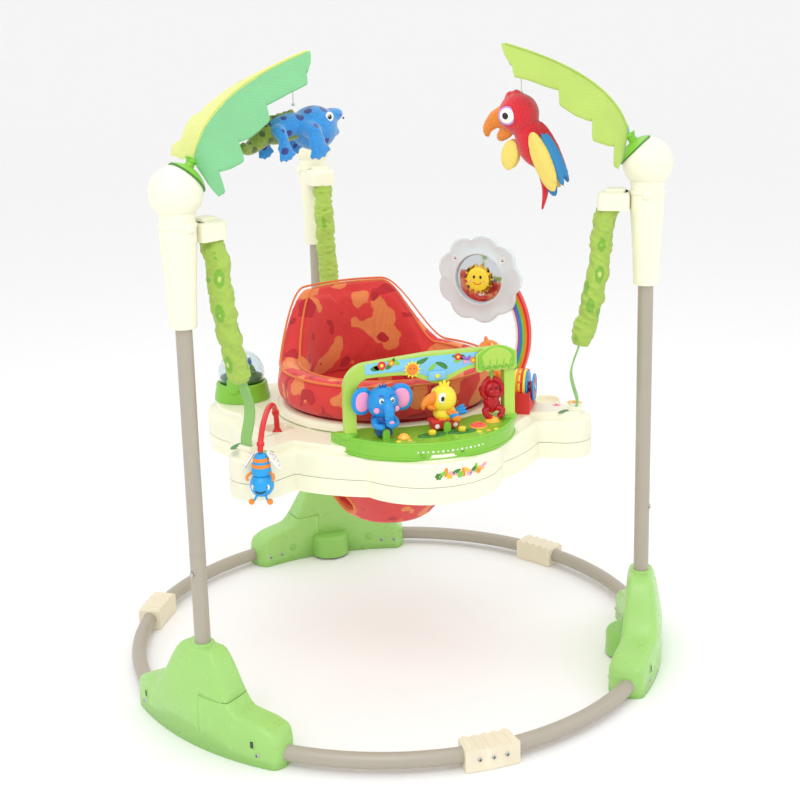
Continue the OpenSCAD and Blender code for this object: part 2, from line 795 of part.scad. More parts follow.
// Circuit box, speaker and three cells under the console
module sound_unit() {
    color(BONE) translate([door_at[0] - 42, door_at[1] - 22, tray_z + tray_wall + 14])
        cube([84, 44, 16]);
    color(STEEL) translate([door_at[0], door_at[1], tray_z + tray_wall + 30])
        cylinder(r = 20, h = 14, $fn = FINE);
    color(BLUE) for (k = [-1:1])
        translate([door_at[0] - 25, door_at[1] + 15 * k, tray_z + tray_wall + 7]) rotate([0, 90, 0])
            cylinder(r = 7.1, h = 50, $fn = FINE);
}

// ---- Seat ----

module seat_glides() {
    color("white") for (k = [0:5]) turned(60 * k + 30) translate([seat_hole_r + 12, 0, deck_z - 1.2])
        cylinder(r = glide_r, h = 1.2 + glide_h, $fn = FINE);
}

module seat_ring() {
    inner = ring_tube_r - ring_wall;
    color(CREAM) rotate_extrude($fn = WIDE) polygon([
        [inner, tray_z - 2], [ring_tube_r, tray_z - 2], [ring_tube_r, ring_low_z],
        [rim_out, ring_low_z], [rim_out, ring_low_z + 4], [rim_out - 8, ring_top_z],
        [inner, ring_top_z]]);
}

// Ring under the tray that stops the seat ring from lifting out
module seat_lock_ring() {
    inner = ring_tube_r - ring_wall;
    color(CREAM) difference() {
        translate([0, 0, tray_z - 6]) cylinder(r = seat_hole_r + lock_lip, h = 4, $fn = WIDE);
        translate([0, 0, tray_z - 7]) cylinder(r = inner, h = 10, $fn = WIDE);
    }
}

// Padded ring, padded back and the fabric seat with its two leg holes
module seat_fabric() {
    top = ring_top_z + bolster_h;
    round_r = bolster_w / 2;
    mid = bolster_in + round_r;
    color(RED) turned(back_angle) {
        difference() {
            union() {
                rotate_extrude($fn = WIDE) {
                    translate([bolster_in, ring_top_z]) square([bolster_w, bolster_h - round_r]);
                    translate([mid, top - round_r]) circle(r = round_r, $fn = FINE);
                }
                rotate([0, 0, -back_half_angle]) rotate_extrude(angle = 2 * back_half_angle, $fn = WIDE) {
                    translate([mid - 14, ring_top_z + 2]) square([32, back_h - 18]);
                    translate([mid + 2, ring_top_z + back_h - 16]) circle(r = 16, $fn = FINE);
                }
                rotate_extrude($fn = WIDE) polygon([
                    [sling_top_r - sling_t, ring_top_z + 10], [sling_top_r, ring_top_z + 10],
                    [sling_top_r, deck_z - 80], [sling_low_r + 4, sling_z + 6], [sling_low_r - 6, sling_z],
                    [0, sling_z], [0, sling_z + sling_t], [sling_low_r - 8, sling_z + sling_t],
                    [sling_low_r + 4 - sling_t, sling_z + 6 + sling_t],
                    [sling_top_r - sling_t, deck_z - 80]]);
            }
            for (s = [-1, 1])
                translate([0, s * 26, sling_z + leg_hole_r + 14]) rotate([-s * 90, 0, 0])
                    cylinder(r = leg_hole_r, h = 200, $fn = FINE);
        }
    }
}

// ---- Console ----

// Two ears and a pin that a rocking toy turns on
module rocker_mount(x) {
    ear_t = 4;
    translate([x, toy_y, deck_top]) {
        for (s = [-1, 1]) translate([0, s * (block_y / 2 + piece_gap + ear_t / 2), 0]) {
            translate([-5, -ear_t / 2, -1]) cube([10, ear_t, pivot_rise + 1]);
            translate([0, 0, pivot_rise]) rotate([90, 0, 0])
                cylinder(r = 5, h = ear_t, center = true, $fn = FINE);
        }
        translate([0, 0, pivot_rise]) rotate([90, 0, 0])
            cylinder(r = pin_r, h = block_y + 2, center = true, $fn = FINE);
    }
}

// Half-moon plan of the console; it keeps clear of the seat's rim
module console_plan(inset) {
    difference() {
        translate([console_x, -console_y]) circle(r = console_r - inset, $fn = WIDE);
        circle(r = rim_out + 4 + inset, $fn = WIDE);
        translate([-200, -console_y - 26 - inset]) square([400, 200]);
    }
}

module console_base() {
    color(GREEN) difference() {
        translate([0, 0, rim_z + 0.05]) linear_extrude(height = deck_top - rim_z - 0.05) console_plan(0);
        translate([0, 0, rim_z - 1])
            linear_extrude(height = deck_top - rim_z + 1 - tray_wall) console_plan(tray_wall);
        translate([0, 0, rim_z - 1])
            linear_extrude(height = tray_crown + 1) tray_plan(border_w - 0.3);
        for (x = slide_x) translate([x - slide_slot, slide_y - slide_neck_r - 0.4, deck_z])
            cube([2 * slide_slot, 2 * slide_neck_r + 0.8, console_h + 1]);
    }
    color(GREEN) for (x = [elephant_x, bird_x]) rocker_mount(x);
}

// Lower edge of the arch's band at x, with its dip in the middle
function band_low(x) = deck_top + arch_h - 26 - 18 * exp(-pow((x - 12) / 32, 2));

module console_arch() {
    top = deck_top + arch_h;
    inner = arch_half - arch_leg_w;
    span = inner - 22;
    monkey_slot = 6;
    canopy_x = monkey_x - console_x;
    color([0.66, 0.8, 0.24]) translate([console_x, -arch_y, 0]) difference() {
        union() {
            upright(arch_t) difference() {
                polygon(concat(
                    [[-arch_half, deck_top]],
                    arc([-arch_half + 34, top - 40], 34, 180, 95),
                    [[0, top]],
                    arc([arch_half - 22, top - 24], 22, 85, 0),
                    [[arch_half, deck_top]]));
                polygon(concat(
                    [[-inner, deck_top - 1]],
                    arc([-inner + 20, deck_top + arch_h - 46], 20, 180, 90),
                    [for (k = [0:16]) let (x = -span + 2 * span * k / 16) [x, band_low(x)]],
                    [[inner, band_low(inner)], [inner, deck_top - 1]]));
            }
            translate([canopy_x - 24, -arch_t / 2 - 3, canopy_z])
                cube([arch_half - canopy_x + 22, arch_t + 6, 12]);
        }
        translate([canopy_x - monkey_slot / 2 - piece_gap, -5.5, canopy_z - 4])
            cube([monkey_slot + 2 * piece_gap, 11, 12]);
    }
    color(GREEN) translate([monkey_x, -arch_y, canopy_z + 3]) rotate([0, 90, 0])
        cylinder(r = 1.5, h = monkey_slot + 3, center = true, $fn = FINE);
}

// Block under a rocking toy, with the bore that its pin runs in
module rocker_block(w) {
    difference() {
        translate([-w / 2, -block_y / 2, 4]) cube([w, block_y, 13]);
        translate([0, 0, pivot_rise]) rotate([90, 0, 0])
            cylinder(r = pin_r + run_gap, h = block_y + 2, center = true, $fn = FINE);
    }
}

module elephant() {
    color(BLUE) translate([elephant_x, toy_y, deck_top]) {
        rocker_block(20);
        translate([0, 0, 17]) cylinder(r1 = 12, r2 = 18, h = 14, $fn = FINE);
        translate([0, 0, 49]) sphere(r = 23, $fn = FINE);
        for (s = [-1, 1]) translate([s * 28, 6, 52]) rotate([90, 0, 0]) cylinder(r = 17, h = 8, $fn = FINE);
        translate([0, -20, 40]) rotate([20, 0, 0]) cylinder(r1 = 5, r2 = 7, h = 18, $fn = FINE);
    }
}

module bird_rocker() {
    color(YELLOW) translate([bird_x, toy_y, deck_top]) {
        rocker_block(38);
        translate([0, 0, 17]) cylinder(r1 = 12, r2 = 17, h = 10, $fn = FINE);
        translate([0, 0, 40]) sphere(r = 20, $fn = FINE);
        translate([-15, 0, 42]) rotate([0, -110, 0]) cylinder(r1 = 11, r2 = 4, h = 16, $fn = FINE);
        translate([12, 0, 24]) rotate([0, 75, 0]) cylinder(r1 = 6, r2 = 8, h = 18, $fn = FINE);
    }
}

module monkey() {
    hang = canopy_z + 3;
    low = deck_top + 10;
    color(RED) translate([monkey_x, -arch_y, 0]) {
        difference() {
            translate([0, 0, hang]) rotate([0, 90, 0]) cylinder(r = 4, h = 5, center = true, $fn = FINE);
            translate([0, 0, hang]) rotate([0, 90, 0])
                cylinder(r = 1.5 + run_gap, h = 8, center = true, $fn = FINE);
        }
        difference() {
            translate([0, 0, hang - 14]) cylinder(r = 2.5, h = 12, $fn = FINE);
            translate([0, 0, hang]) rotate([0, 90, 0]) cylinder(r = 2, h = 8, center = true, $fn = FINE);
        }
        rotate_extrude($fn = FINE) polygon([
            [0, low], [9, low + 3], [13, low + 14], [11, low + 28], [13.5, low + 42],
            [12, hang - 20], [8, hang - 13], [0, hang - 12]]);
    }
}

module slider_knob(k) {
    color(YELLOW) translate([slide_x[k], slide_y, 0]) {
        translate([0, 0, deck_top + 0.3]) cylinder(r = 5, h = 7, $fn = FINE);
        translate([0, 0, deck_top - 5]) cylinder(r = slide_neck_r, h = 8, $fn = FINE);
        translate([0, 0, deck_top - 6.5]) cylinder(r = 5, h = 2.5, $fn = FINE);
    }
}

// Three low lamp covers on the console
module lamp_gems() {
    color(ORANGE) for (g = gem_places) translate([g[0], g[1], deck_top + 0.05]) {
        cylinder(r1 = g[2], r2 = g[2] * 0.6, h = 6, $fn = 6);
    }
}

// ---- Toys on the tray ----

module bubble_base() {
    color(GREEN) turned(bubble_angle) translate([bubble_at, 0, 0]) difference() {
        translate([0, 0, deck_z]) cylinder(r1 = bubble_r + 7, r2 = bubble_r + 3, h = 24, $fn = FINE);
        translate([0, 0, bubble_z]) sphere(r = bubble_r + 0.6, $fn = FINE);
        translate([0, 0, deck_z + 1]) cylinder(r = bubble_pin_r + run_gap, h = 30, $fn = FINE);
    }
}

module bubble() {
    color([0.85, 0.93, 0.97, 0.4]) turned(bubble_angle) translate([bubble_at, 0, 0]) {
        difference() {
            translate([0, 0, bubble_z]) sphere(r = bubble_r, $fn = FINE);
            translate([0, 0, bubble_z]) sphere(r = bubble_r - 1.5, $fn = FINE);
        }
        translate([0, 0, deck_z + 1.2]) cylinder(r = bubble_pin_r, h = 4.5, $fn = FINE);
    }
}

// Green hill with a small blue creature, fixed inside the bubble
module bubble_toy() {
    hill = bubble_r - 2;
    color(GREEN) turned(bubble_angle) translate([bubble_at, 0, bubble_z]) {
        difference() {
            sphere(r = hill, $fn = FINE);
            translate([0, 0, -4]) cylinder(r = bubble_r, h = bubble_r * 2, $fn = FINE);
        }
        translate([0, 0, -5]) cylinder(r1 = 20, r2 = 8, h = 18, $fn = FINE);
        translate([0, 0, 16]) sphere(r = 9, $fn = FINE);
    }
}

module roller_box() {
    cheek = 4;
    half = roller_w / 2 + 1;
    box_y = roller_r + 7;
    low_h = roller_z - deck_z - 2;
    color(RED) turned(roller_angle) translate([roller_at, 0, 0]) difference() {
        union() {
            translate([-half - cheek, -box_y, deck_z]) cube([2 * half + 2 * cheek, 2 * box_y, low_h]);
            translate([-half - cheek, 0, roller_z]) rotate([0, 90, 0])
                cylinder(r = 9, h = 2 * half + 2 * cheek, $fn = FINE);
        }
        translate([-half, 0, roller_z]) rotate([0, 90, 0]) cylinder(r = roller_r + 1.2, h = 2 * half, $fn = FINE);
        translate([-half - cheek - 1, 0, roller_z]) rotate([0, 90, 0])
            cylinder(r = axle_r + run_gap, h = 2 * half + 2 * cheek + 2, $fn = FINE);
    }
}

module roller_drum() {
    axle = roller_w + 2 * 7;
    color(BLUE) turned(roller_angle) translate([roller_at, 0, roller_z]) rotate([0, 90, 0]) {
        translate([0, 0, -roller_w / 2]) cylinder(r = roller_r, h = roller_w, $fn = FINE);
        translate([0, 0, -roller_w / 2 - 5]) cylinder(r = axle_r, h = axle, $fn = FINE);
        translate([0, 0, roller_w / 2 + 6]) cylinder(r = roller_r - 6, h = 3, $fn = FINE);
    }
}

// Frame whose +Y looks at the child, with its origin at the cloud mirror's centre
module cloud_frame() {
    turned(cloud_angle) translate([cloud_at, 0, cloud_z])
        rotate([0, 0, cloud_face - cloud_angle - 90]) children();
}

module cloud_mirror() {
    bumps = 9;
    color([0.95, 0.98, 0.99]) cloud_frame() {
        difference() {
            upright(cloud_t) {
                circle(r = cloud_r - 5, $fn = WIDE);
                for (k = [0:bumps - 1]) rotate(360 * k / bumps)
                    translate([cloud_r - 22, 0]) circle(r = 22, $fn = FINE);
            }
            translate([0, cloud_t / 2 + 0.01, 0]) rotate([90, 0, 0]) cylinder(r = 40, h = 4, $fn = WIDE);
            translate([0, 10, 0]) rotate([90, 0, 0]) cylinder(r = axle_r + run_gap, h = 30, $fn = FINE);
        }
    }
}

// Striped arm that carries the cloud mirror; it stands on the tray behind the mirror
module rainbow_arm() {
    arm_r = 145;
    band = 24;
    centre = [60, -92];
    color(ORANGE) cloud_frame() translate([0, -cloud_t - 0.05, 0]) difference() {
        upright(cloud_t) intersection() {
            translate(centre) difference() {
                circle(r = arm_r, $fn = WIDE);
                circle(r = arm_r - band, $fn = WIDE);
            }
            translate([-cloud_r - 20, -cloud_h]) square([cloud_r, cloud_h - 30]);
        }
    }
}

module sun_spinner() {
    rays = 12;
    color(YELLOW) cloud_frame() translate([0, cloud_t / 2 - 3, 0]) {
        rotate([-90, 0, 0]) linear_extrude(height = 5) {
            circle(r = sun_r - 5, $fn = FINE);
            for (k = [0:rays - 1]) rotate(360 * k / rays)
                polygon([[sun_r - 7, -4], [sun_r, 0], [sun_r - 7, 4]]);
        }
        rotate([90, 0, 0]) cylinder(r = axle_r, h = 4.5, $fn = FINE);
    }
}

module tiger() {
    color(ORANGE) turned(tiger_angle) translate([tiger_at, 0, deck_z]) rotate([0, 0, 60]) {
        translate([0, 0, -11]) cylinder(r = tiger_pin_r, h = 14, $fn = FINE);
        translate([0, 0, 0.6]) cylinder(r1 = 15, r2 = 17, h = 26, $fn = FINE);
        translate([0, 0, 44]) sphere(r = 23, $fn = FINE);
        for (s = [-1, 1]) translate([s * 20, 3, 60]) rotate([90, 0, 0]) cylinder(r = 8, h = 6, $fn = FINE);
    }
}

// Bent stem from its socket in the cup over the edge of the tray to the bug
module bug_stem() {
    rings = 26;
    low = deck_z - 2;
    path = [for (k = [0:rings]) let (u = k / rings)
        [bug_reach * (0.5 - 0.5 * cos(180 * pow(u, 0.9))), 0, low + 46 * sin(180 * pow(u, 0.75)) + 14 * u]];
    color(RED) translate([stem_x, stem_y, 0]) rotate([0, 0, stem_turn]) {
        swept_tube(path, 4, 12, [0, 1, 0]);
        translate([0, 0, deck_z - cup_depth - 6]) cylinder(r = bug_socket_r, h = cup_depth + 4.5, $fn = FINE);
    }
}

module bug() {
    top = deck_z + 11;
    color(BLUE) translate([stem_x, stem_y, 0]) rotate([0, 0, stem_turn]) translate([bug_reach, 0, 0]) {
        translate([0, 0, top - 30]) cylinder(r1 = 14, r2 = 9, h = 30, $fn = FINE);
        translate([0, 0, top - 46]) sphere(r = 19, $fn = FINE);
        for (s = [-1, 1]) translate([-6, s * 16, top - 20]) rotate([0, 90, 0]) cylinder(r = 11, h = 3, $fn = FINE);
    }
}

base_tube(LEFT);  // base_tube_left
base_tube(RIGHT);  // base_tube_right
base_tube(BACK);  // base_tube_back
ring_connectors();
foot(LEFT);  // foot_left
foot(RIGHT);  // foot_right
foot(BACK);  // foot_back
foot_covers();
leg_lower(LEFT);  // leg_lower_left
leg_lower(RIGHT);  // leg_lower_right
leg_lower(BACK);  // leg_lower_back
leg_upper(LEFT);  // leg_upper_left
leg_upper(RIGHT);  // leg_upper_right
leg_upper(BACK);  // leg_upper_back
snap_button(LEFT);  // snap_button_left
snap_button(RIGHT);  // snap_button_right
snap_button(BACK);  // snap_button_back
spring_housing(LEFT);  // spring_housing_left
spring_housing(RIGHT);  // spring_housing_right
spring_housing(BACK);  // spring_housing_back
top_cap(LEFT, true);  // top_cap_left
top_cap(RIGHT, true);  // top_cap_right
top_cap(BACK, false);  // top_cap_back
frame_screws();
bounce_springs();
spring_sleeves();
hanger_straps();
leaf(LEFT);  // leaf_left
leaf(RIGHT);  // leaf_right
toy_cord(LEFT);  // lizard_cord
toy_cord(RIGHT);  // parrot_cord
lizard();
parrot();
tray_top();
tray_bottom();
seat_ring();
seat_lock_ring();
seat_fabric();
seat_glides();
console_base();
console_arch();
elephant();
bird_rocker();
monkey();
slider_knob(0);  // slider_left
slider_knob(1);  // slider_right
lamp_gems();
bubble_base();
bubble();
bubble_toy();
roller_box();
roller_drum();
cloud_mirror();
rainbow_arm();
sun_spinner();
tiger();
bug_stem();
bug();
battery_door();
sound_unit();
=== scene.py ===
"""Looks of an activity jumper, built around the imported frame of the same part.

Sizes are in millimetres in the part's own frame, and become metres when a mesh is made.
Each post has a frame of its own: +X runs outwards through the post and +Z is up.
"""

import logging
import math
from dataclasses import dataclass, field
from enum import Enum
from typing import Iterable, Sequence

import bmesh
import bpy
import numpy as np
from mathutils import Matrix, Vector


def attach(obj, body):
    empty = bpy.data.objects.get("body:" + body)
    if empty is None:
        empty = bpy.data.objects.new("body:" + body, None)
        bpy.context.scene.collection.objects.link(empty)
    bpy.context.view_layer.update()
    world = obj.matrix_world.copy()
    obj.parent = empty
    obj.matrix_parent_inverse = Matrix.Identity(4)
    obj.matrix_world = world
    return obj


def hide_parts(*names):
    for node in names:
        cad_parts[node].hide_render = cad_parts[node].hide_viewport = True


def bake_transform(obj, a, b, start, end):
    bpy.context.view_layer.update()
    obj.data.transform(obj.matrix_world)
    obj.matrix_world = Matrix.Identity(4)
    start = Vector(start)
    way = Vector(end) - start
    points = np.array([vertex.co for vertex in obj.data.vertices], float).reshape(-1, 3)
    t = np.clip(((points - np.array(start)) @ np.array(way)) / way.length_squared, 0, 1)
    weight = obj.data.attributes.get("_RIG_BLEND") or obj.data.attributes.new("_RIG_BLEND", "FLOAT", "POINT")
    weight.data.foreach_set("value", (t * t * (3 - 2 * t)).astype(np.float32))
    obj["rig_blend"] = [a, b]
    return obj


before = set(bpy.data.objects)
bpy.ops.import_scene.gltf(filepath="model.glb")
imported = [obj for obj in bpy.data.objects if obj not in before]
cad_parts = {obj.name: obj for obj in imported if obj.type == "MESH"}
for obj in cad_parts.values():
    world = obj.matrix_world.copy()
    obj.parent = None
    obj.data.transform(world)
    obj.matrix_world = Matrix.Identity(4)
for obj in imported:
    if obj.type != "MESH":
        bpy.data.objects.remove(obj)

LOG = logging.getLogger("jumper")
MM = 0.001
Array = np.ndarray
Colour = tuple[float, float, float]


def srgb(red: float, green: float, blue: float) -> Colour:
    """Linear colour of a display colour.

    Args:
        red, green, blue: parts from 0 to 255.
    Returns:
        The three linear parts, each ((c + 0.055) / 1.055) to the power 2.4 above the toe.
    """
    parts = np.array([red, green, blue]) / 255.0
    linear = np.where(parts <= 0.04045, parts / 12.92, ((parts + 0.055) / 1.055) ** 2.4)
    return tuple(float(c) for c in linear)


def ease(t: Array | float) -> Array:
    """Smooth step 3 t^2 - 2 t^3 of t held between 0 and 1."""
    t = np.clip(t, 0.0, 1.0)
    return t * t * (3.0 - 2.0 * t)


def cosd(a: Array | float) -> Array:
    """Cosine of degrees."""
    return np.cos(np.radians(a))


def sind(a: Array | float) -> Array:
    """Sine of degrees."""
    return np.sin(np.radians(a))


def bend(a: Array, power: float) -> Array:
    """A value from -1 to 1 raised to a power, its sign kept."""
    return np.sign(a) * np.abs(a) ** power


# ---- Places and surfaces ----


@dataclass(frozen=True)
class Place:
    """A frame that points are put into: a turn with a stretch, and an origin."""

    turn: Array = field(default_factory=lambda: np.eye(3))
    origin: Array = field(default_factory=lambda: np.zeros(3))

    def __call__(self, points: Array) -> Array:
        """Points of this frame, in the part's frame."""
        return np.asarray(points, float) @ self.turn.T + self.origin

    def move(self, x: float = 0.0, y: float = 0.0, z: float = 0.0) -> "Place":
        """This frame moved along its own axes."""
        return Place(self.turn, self.origin + self.turn @ np.array([x, y, z], float))

    def spin(self, axis: str, angle: float) -> "Place":
        """This frame turned by degrees about its own axis x, y or z."""
        c, s = float(cosd(angle)), float(sind(angle))
        i, j = {"x": (1, 2), "y": (2, 0), "z": (0, 1)}[axis]
        m = np.eye(3)
        m[i, i] = m[j, j] = c
        m[i, j], m[j, i] = -s, s
        return Place(self.turn @ m, self.origin)

    def stretch(self, x: float = 1.0, y: float = 1.0, z: float = 1.0) -> "Place":
        """This frame with its axes stretched."""
        return Place(self.turn * np.array([x, y, z], float), self.origin)


HERE = Place()


def post(angle: float, r: float = 0.0, z: float = 0.0) -> Place:
    """Frame at distance r along a direction, at height z, with +X outwards."""
    return HERE.spin("z", angle).move(r, 0.0, z)


def ellipsoid(rx: float, ry: float, rz: float, rows: int = 20, cols: int = 32, power: float = 1.0) -> Array:
    """Ball as a grid: x = rx cos(v) cos(u), y = rx cos(v) sin(u), z = rz sin(v), each part to a power.

    Args:
        rx, ry, rz: half sizes.
        rows, cols: steps from pole to pole and round.
        power: below 1 makes it boxier.
    Returns:
        A grid of points, rows by cols by 3.
    """
    v = np.linspace(-90, 90, rows)[:, None]
    u = np.linspace(0, 360, cols, endpoint=False)[None, :]
    return np.stack(np.broadcast_arrays(rx * bend(cosd(v), power) * bend(cosd(u), power),
                                        ry * bend(cosd(v), power) * bend(sind(u), power),
                                        rz * bend(sind(v), power)), -1)


def lathe(profile: Sequence, cols: int = 48, start: float = 0.0, stop: float = 360.0) -> Array:
    """A profile (r, z) turned round Z: x = r cos(u), y = r sin(u). A full turn leaves out its last column."""
    p = np.asarray(profile, float)
    u = np.linspace(start, stop, cols, endpoint=stop - start < 360)
    return np.stack(np.broadcast_arrays(
        p[:, 0, None] * cosd(u), p[:, 0, None] * sind(u), p[:, 1, None]), -1)


def filleted(points: Sequence, radius: float | Sequence[float], steps: int = 4,
             closed: bool = False) -> Array:
    """A polyline with each corner cut by a curve: corner, its two cut points, and the quadratic between.

    Args:
        points: corners, in two dimensions.
        radius: length cut from each side of a corner, for all or one by one.
        steps: pieces of each curve.
        closed: whether the last corner joins the first.
    Returns:
        The points of the softened line.
    """
    p = np.asarray(points, float)
    cut = np.broadcast_to(np.asarray(radius, float), (len(p),))
    t = np.linspace(0, 1, steps + 1)[:, None]
    out = []
    for i, corner in enumerate(p):
        if not closed and i in (0, len(p) - 1) or cut[i] <= 0:
            out.append(corner[None])
            continue
        before, after = p[i - 1] - corner, p[(i + 1) % len(p)] - corner
        lb, la = np.linalg.norm(before), np.linalg.norm(after)
        c = min(cut[i], lb * 0.49, la * 0.49)
        a, b = corner + before / lb * c, corner + after / la * c
        out.append((1 - t) ** 2 * a + 2 * t * (1 - t) * corner + t * t * b)
    return np.vstack(out)


def rounded(x0: float, x1: float, y0: float, y1: float, radius: float | Sequence[float],
            steps: int = 4) -> Array:
    """Outline of a rectangle with softened corners, anticlockwise from its low corner."""
    return filleted([(x0, y0), (x1, y0), (x1, y1), (x0, y1)], radius, steps, True)


def path_frames(path: Array, up: Sequence[float] | None = None) -> tuple[Array, Array]:
    """Two unit vectors across a path at each point; up fixes the second, or it is carried along."""
    p = np.asarray(path, float)
    t = np.gradient(p, axis=0)
    t /= np.linalg.norm(t, axis=1, keepdims=True)
    if up is not None:
        a = np.cross(np.broadcast_to(np.asarray(up, float), t.shape), t)
        a /= np.linalg.norm(a, axis=1, keepdims=True)
        return a, np.cross(t, a)
    a = np.zeros_like(t)
    a[0] = np.cross(t[0], [0.3, 0.9, 0.31])
    a[0] /= np.linalg.norm(a[0])
    for i in range(1, len(t)):
        a[i] = a[i - 1] - t[i] * (a[i - 1] @ t[i])
        a[i] /= np.linalg.norm(a[i])
    return a, np.cross(t, a)


def tube(path: Array, radius: float | Array, cols: int = 12, up: Sequence[float] | None = None,
         flat: float = 1.0) -> Array:
    """A round or oval section carried along a path.

    Args:
        path: points of the centreline.
        radius: radius, one for all points or one for each.
        cols: points round the section.
        up: direction that stays on the section's short axis, if the section doesn't just follow.
        flat: height of the section as a share of its width.
    Returns:
        Grid with a row for each point of the path.
    """
    a, b = path_frames(path, up)
    r = np.broadcast_to(np.asarray(radius, float), (len(path),))[:, None, None]
    u = np.linspace(0, 360, cols, endpoint=False)[None, :, None]
    return np.asarray(path, float)[:, None] + r * (cosd(u) * a[:, None] + flat * sind(u) * b[:, None])


def spline(points: Sequence, count: int) -> Array:
    """Smooth curve through points: a Catmull-Rom piece between each two, sampled evenly in its parameter."""
    p = np.asarray(points, float)
    p = np.vstack([2 * p[0] - p[1], p, 2 * p[-1] - p[-2]])
    s = np.linspace(0, len(p) - 3 - 1e-9, count)
    i = s.astype(int)
    t = (s - i)[:, None]
    a, b, c, d = p[i], p[i + 1], p[i + 2], p[i + 3]
    return 0.5 * (2 * b + (c - a) * t + (2 * a - 5 * b + 4 * c - d) * t**2 + (3 * b - a - 3 * c + d) * t**3)


def inset_loop(loop: Array, distance: float) -> Array:
    """A closed flat outline drawn in by a distance along its vertex normals; it runs anticlockwise."""
    step = np.roll(loop, -1, 0) - np.roll(loop, 1, 0)
    step /= np.maximum(np.linalg.norm(step, axis=1, keepdims=True), 1e-9)
    return loop + distance * np.stack([-step[:, 1], step[:, 0]], 1)


def circle(r: float, count: int = 48, x: float = 0.0, y: float = 0.0) -> Array:
    """Outline of a circle, anticlockwise."""
    u = np.linspace(0, 360, count, endpoint=False)
    return np.stack([x + r * cosd(u), y + r * sind(u)], 1)


def wrinkles(points: Array, seed: int, size: float, count: int = 14) -> Array:
    """Smooth noise from -1 to 1 at points: a mean of sines along fixed random directions.

    Args:
        points: places, in millimetres.
        seed: which set of directions.
        size: length of one wave.
        count: waves that are summed.
    Returns:
        One value for each point.
    """
    rng = np.random.default_rng(seed)
    way = rng.normal(size=(3, count))
    way *= 2 * np.pi / (size * rng.uniform(0.7, 1.6, count)) / np.linalg.norm(way, axis=0)
    return np.sin(np.asarray(points, float) @ way + rng.uniform(0, 2 * np.pi, count)).mean(-1) * 1.6


class Form:
    """Vertices and faces of one piece, gathered from surfaces in millimetres."""

    def __init__(self) -> None:
        """An empty form."""
        self.points: list[Array] = []
        self.faces: list[list[int]] = []
        self.paint: list[int] = []
        self.count = 0

    def grid(self, points: Array, place: Place = HERE, wrap: str = "v", caps: str = "",
             paint: int = 0) -> "Form":
        """Adds a grid of quads.

        Args:
            points: rows by columns by 3.
            place: frame of the points.
            wrap: "v" joins the last column to the first, "u" the rows, "uv" both, "" none.
            caps: "s" closes the first row with one face, "e" the last one.
            paint: index of the finish.
        Returns:
            The form itself.
        """
        rows, cols = points.shape[:2]
        index = np.arange(rows * cols).reshape(rows, cols) + self.count
        first, last = index[0].tolist(), index[-1].tolist()
        if "u" in wrap:
            index = np.vstack([index, index[:1]])
        if "v" in wrap:
            index = np.hstack([index, index[:, :1]])
        quads = np.stack([index[:-1, :-1], index[:-1, 1:], index[1:, 1:], index[1:, :-1]],
                         -1).reshape(-1, 4).tolist()
        if "s" in caps:
            quads.append(first[::-1])
        if "e" in caps:
            quads.append(last)
        self.faces += quads
        self.paint += [paint] * len(quads)
        self.points.append(place(points.reshape(-1, 3)))
        self.count += rows * cols
        return self

    def ball(self, sizes: Sequence[float], place: Place, paint: int = 0) -> "Form":
        """Adds an ellipsoid; sizes are what ellipsoid() takes."""
        return self.grid(ellipsoid(*sizes), place, paint=paint)

    def limb(self, points: Sequence, count: int, radii: float | Sequence[float], cols: int, place: Place,
             paint: int = 0, **shape: object) -> "Form":
        """Adds a closed tube along a smooth curve.

        Args:
            points: where the curve runs through.
            count: points along it.
            radii: one radius, or the first and the last one.
            cols: points round the section.
            place: frame of the points.
            paint: index of the finish.
            shape: up and flat, as for tube().
        Returns:
            The form itself.
        """
        width = radii if isinstance(radii, float) else np.linspace(*radii, count)
        return self.grid(tube(spline(points, count), width, cols, **shape), place, caps="se", paint=paint)

    def hoop(self, path: Array, radius: float, a: Array, b: Array, place: Place = HERE) -> "Form":
        """Adds a tube of ten sides round a closed path; a and b are unit vectors across it."""
        u = np.linspace(0, 360, 10, endpoint=False)[None, :, None]
        return self.grid(path[:, None] + radius * (cosd(u) * a + sind(u) * b), place, wrap="uv")

    def slab(self, outline: Array, low: float, high: float, place: Place = HERE, soft: float = 1.2,
             soft_low: float | None = None, paint: int = 0, steps: int = 3) -> "Form":
        """Adds a flat body with rounded rims: the outline, drawn in along a quarter circle at each rim.

        Args:
            outline: anticlockwise points (x, y).
            low, high: heights of its two faces.
            place: frame of the points.
            soft: radius of the upper rim, and soft_low of the lower one.
            paint: index of the finish.
            steps: pieces of a rim's curve.
        Returns:
            The form itself.
        """
        soft_low = soft if soft_low is None else soft_low
        t = np.linspace(0, 90, steps + 1)
        levels = [(soft_low * (1 - s), low + soft_low * (1 - c)) for s, c in zip(sind(t), cosd(t))]
        levels += [(soft * (1 - c), high - soft * (1 - s)) for s, c in zip(sind(t), cosd(t))]
        rings = [np.column_stack([inset_loop(outline, d), np.full(len(outline), z)]) for d, z in levels]
        return self.grid(np.stack(rings), place, caps="se", paint=paint)


def weld(mesh: bpy.types.Mesh, sharp: float = 38.0) -> None:
    """Merges doubles, turns faces outwards and marks edges sharper than an angle."""
    bm = bmesh.new()
    bm.from_mesh(mesh)
    bmesh.ops.remove_doubles(bm, verts=bm.verts, dist=2e-6)
    bmesh.ops.dissolve_degenerate(bm, edges=bm.edges, dist=1e-7)
    bmesh.ops.recalc_face_normals(bm, faces=bm.faces)
    bm.to_mesh(mesh)
    bm.free()
    smooth(mesh)
    mesh.set_sharp_from_angle(angle=math.radians(sharp))


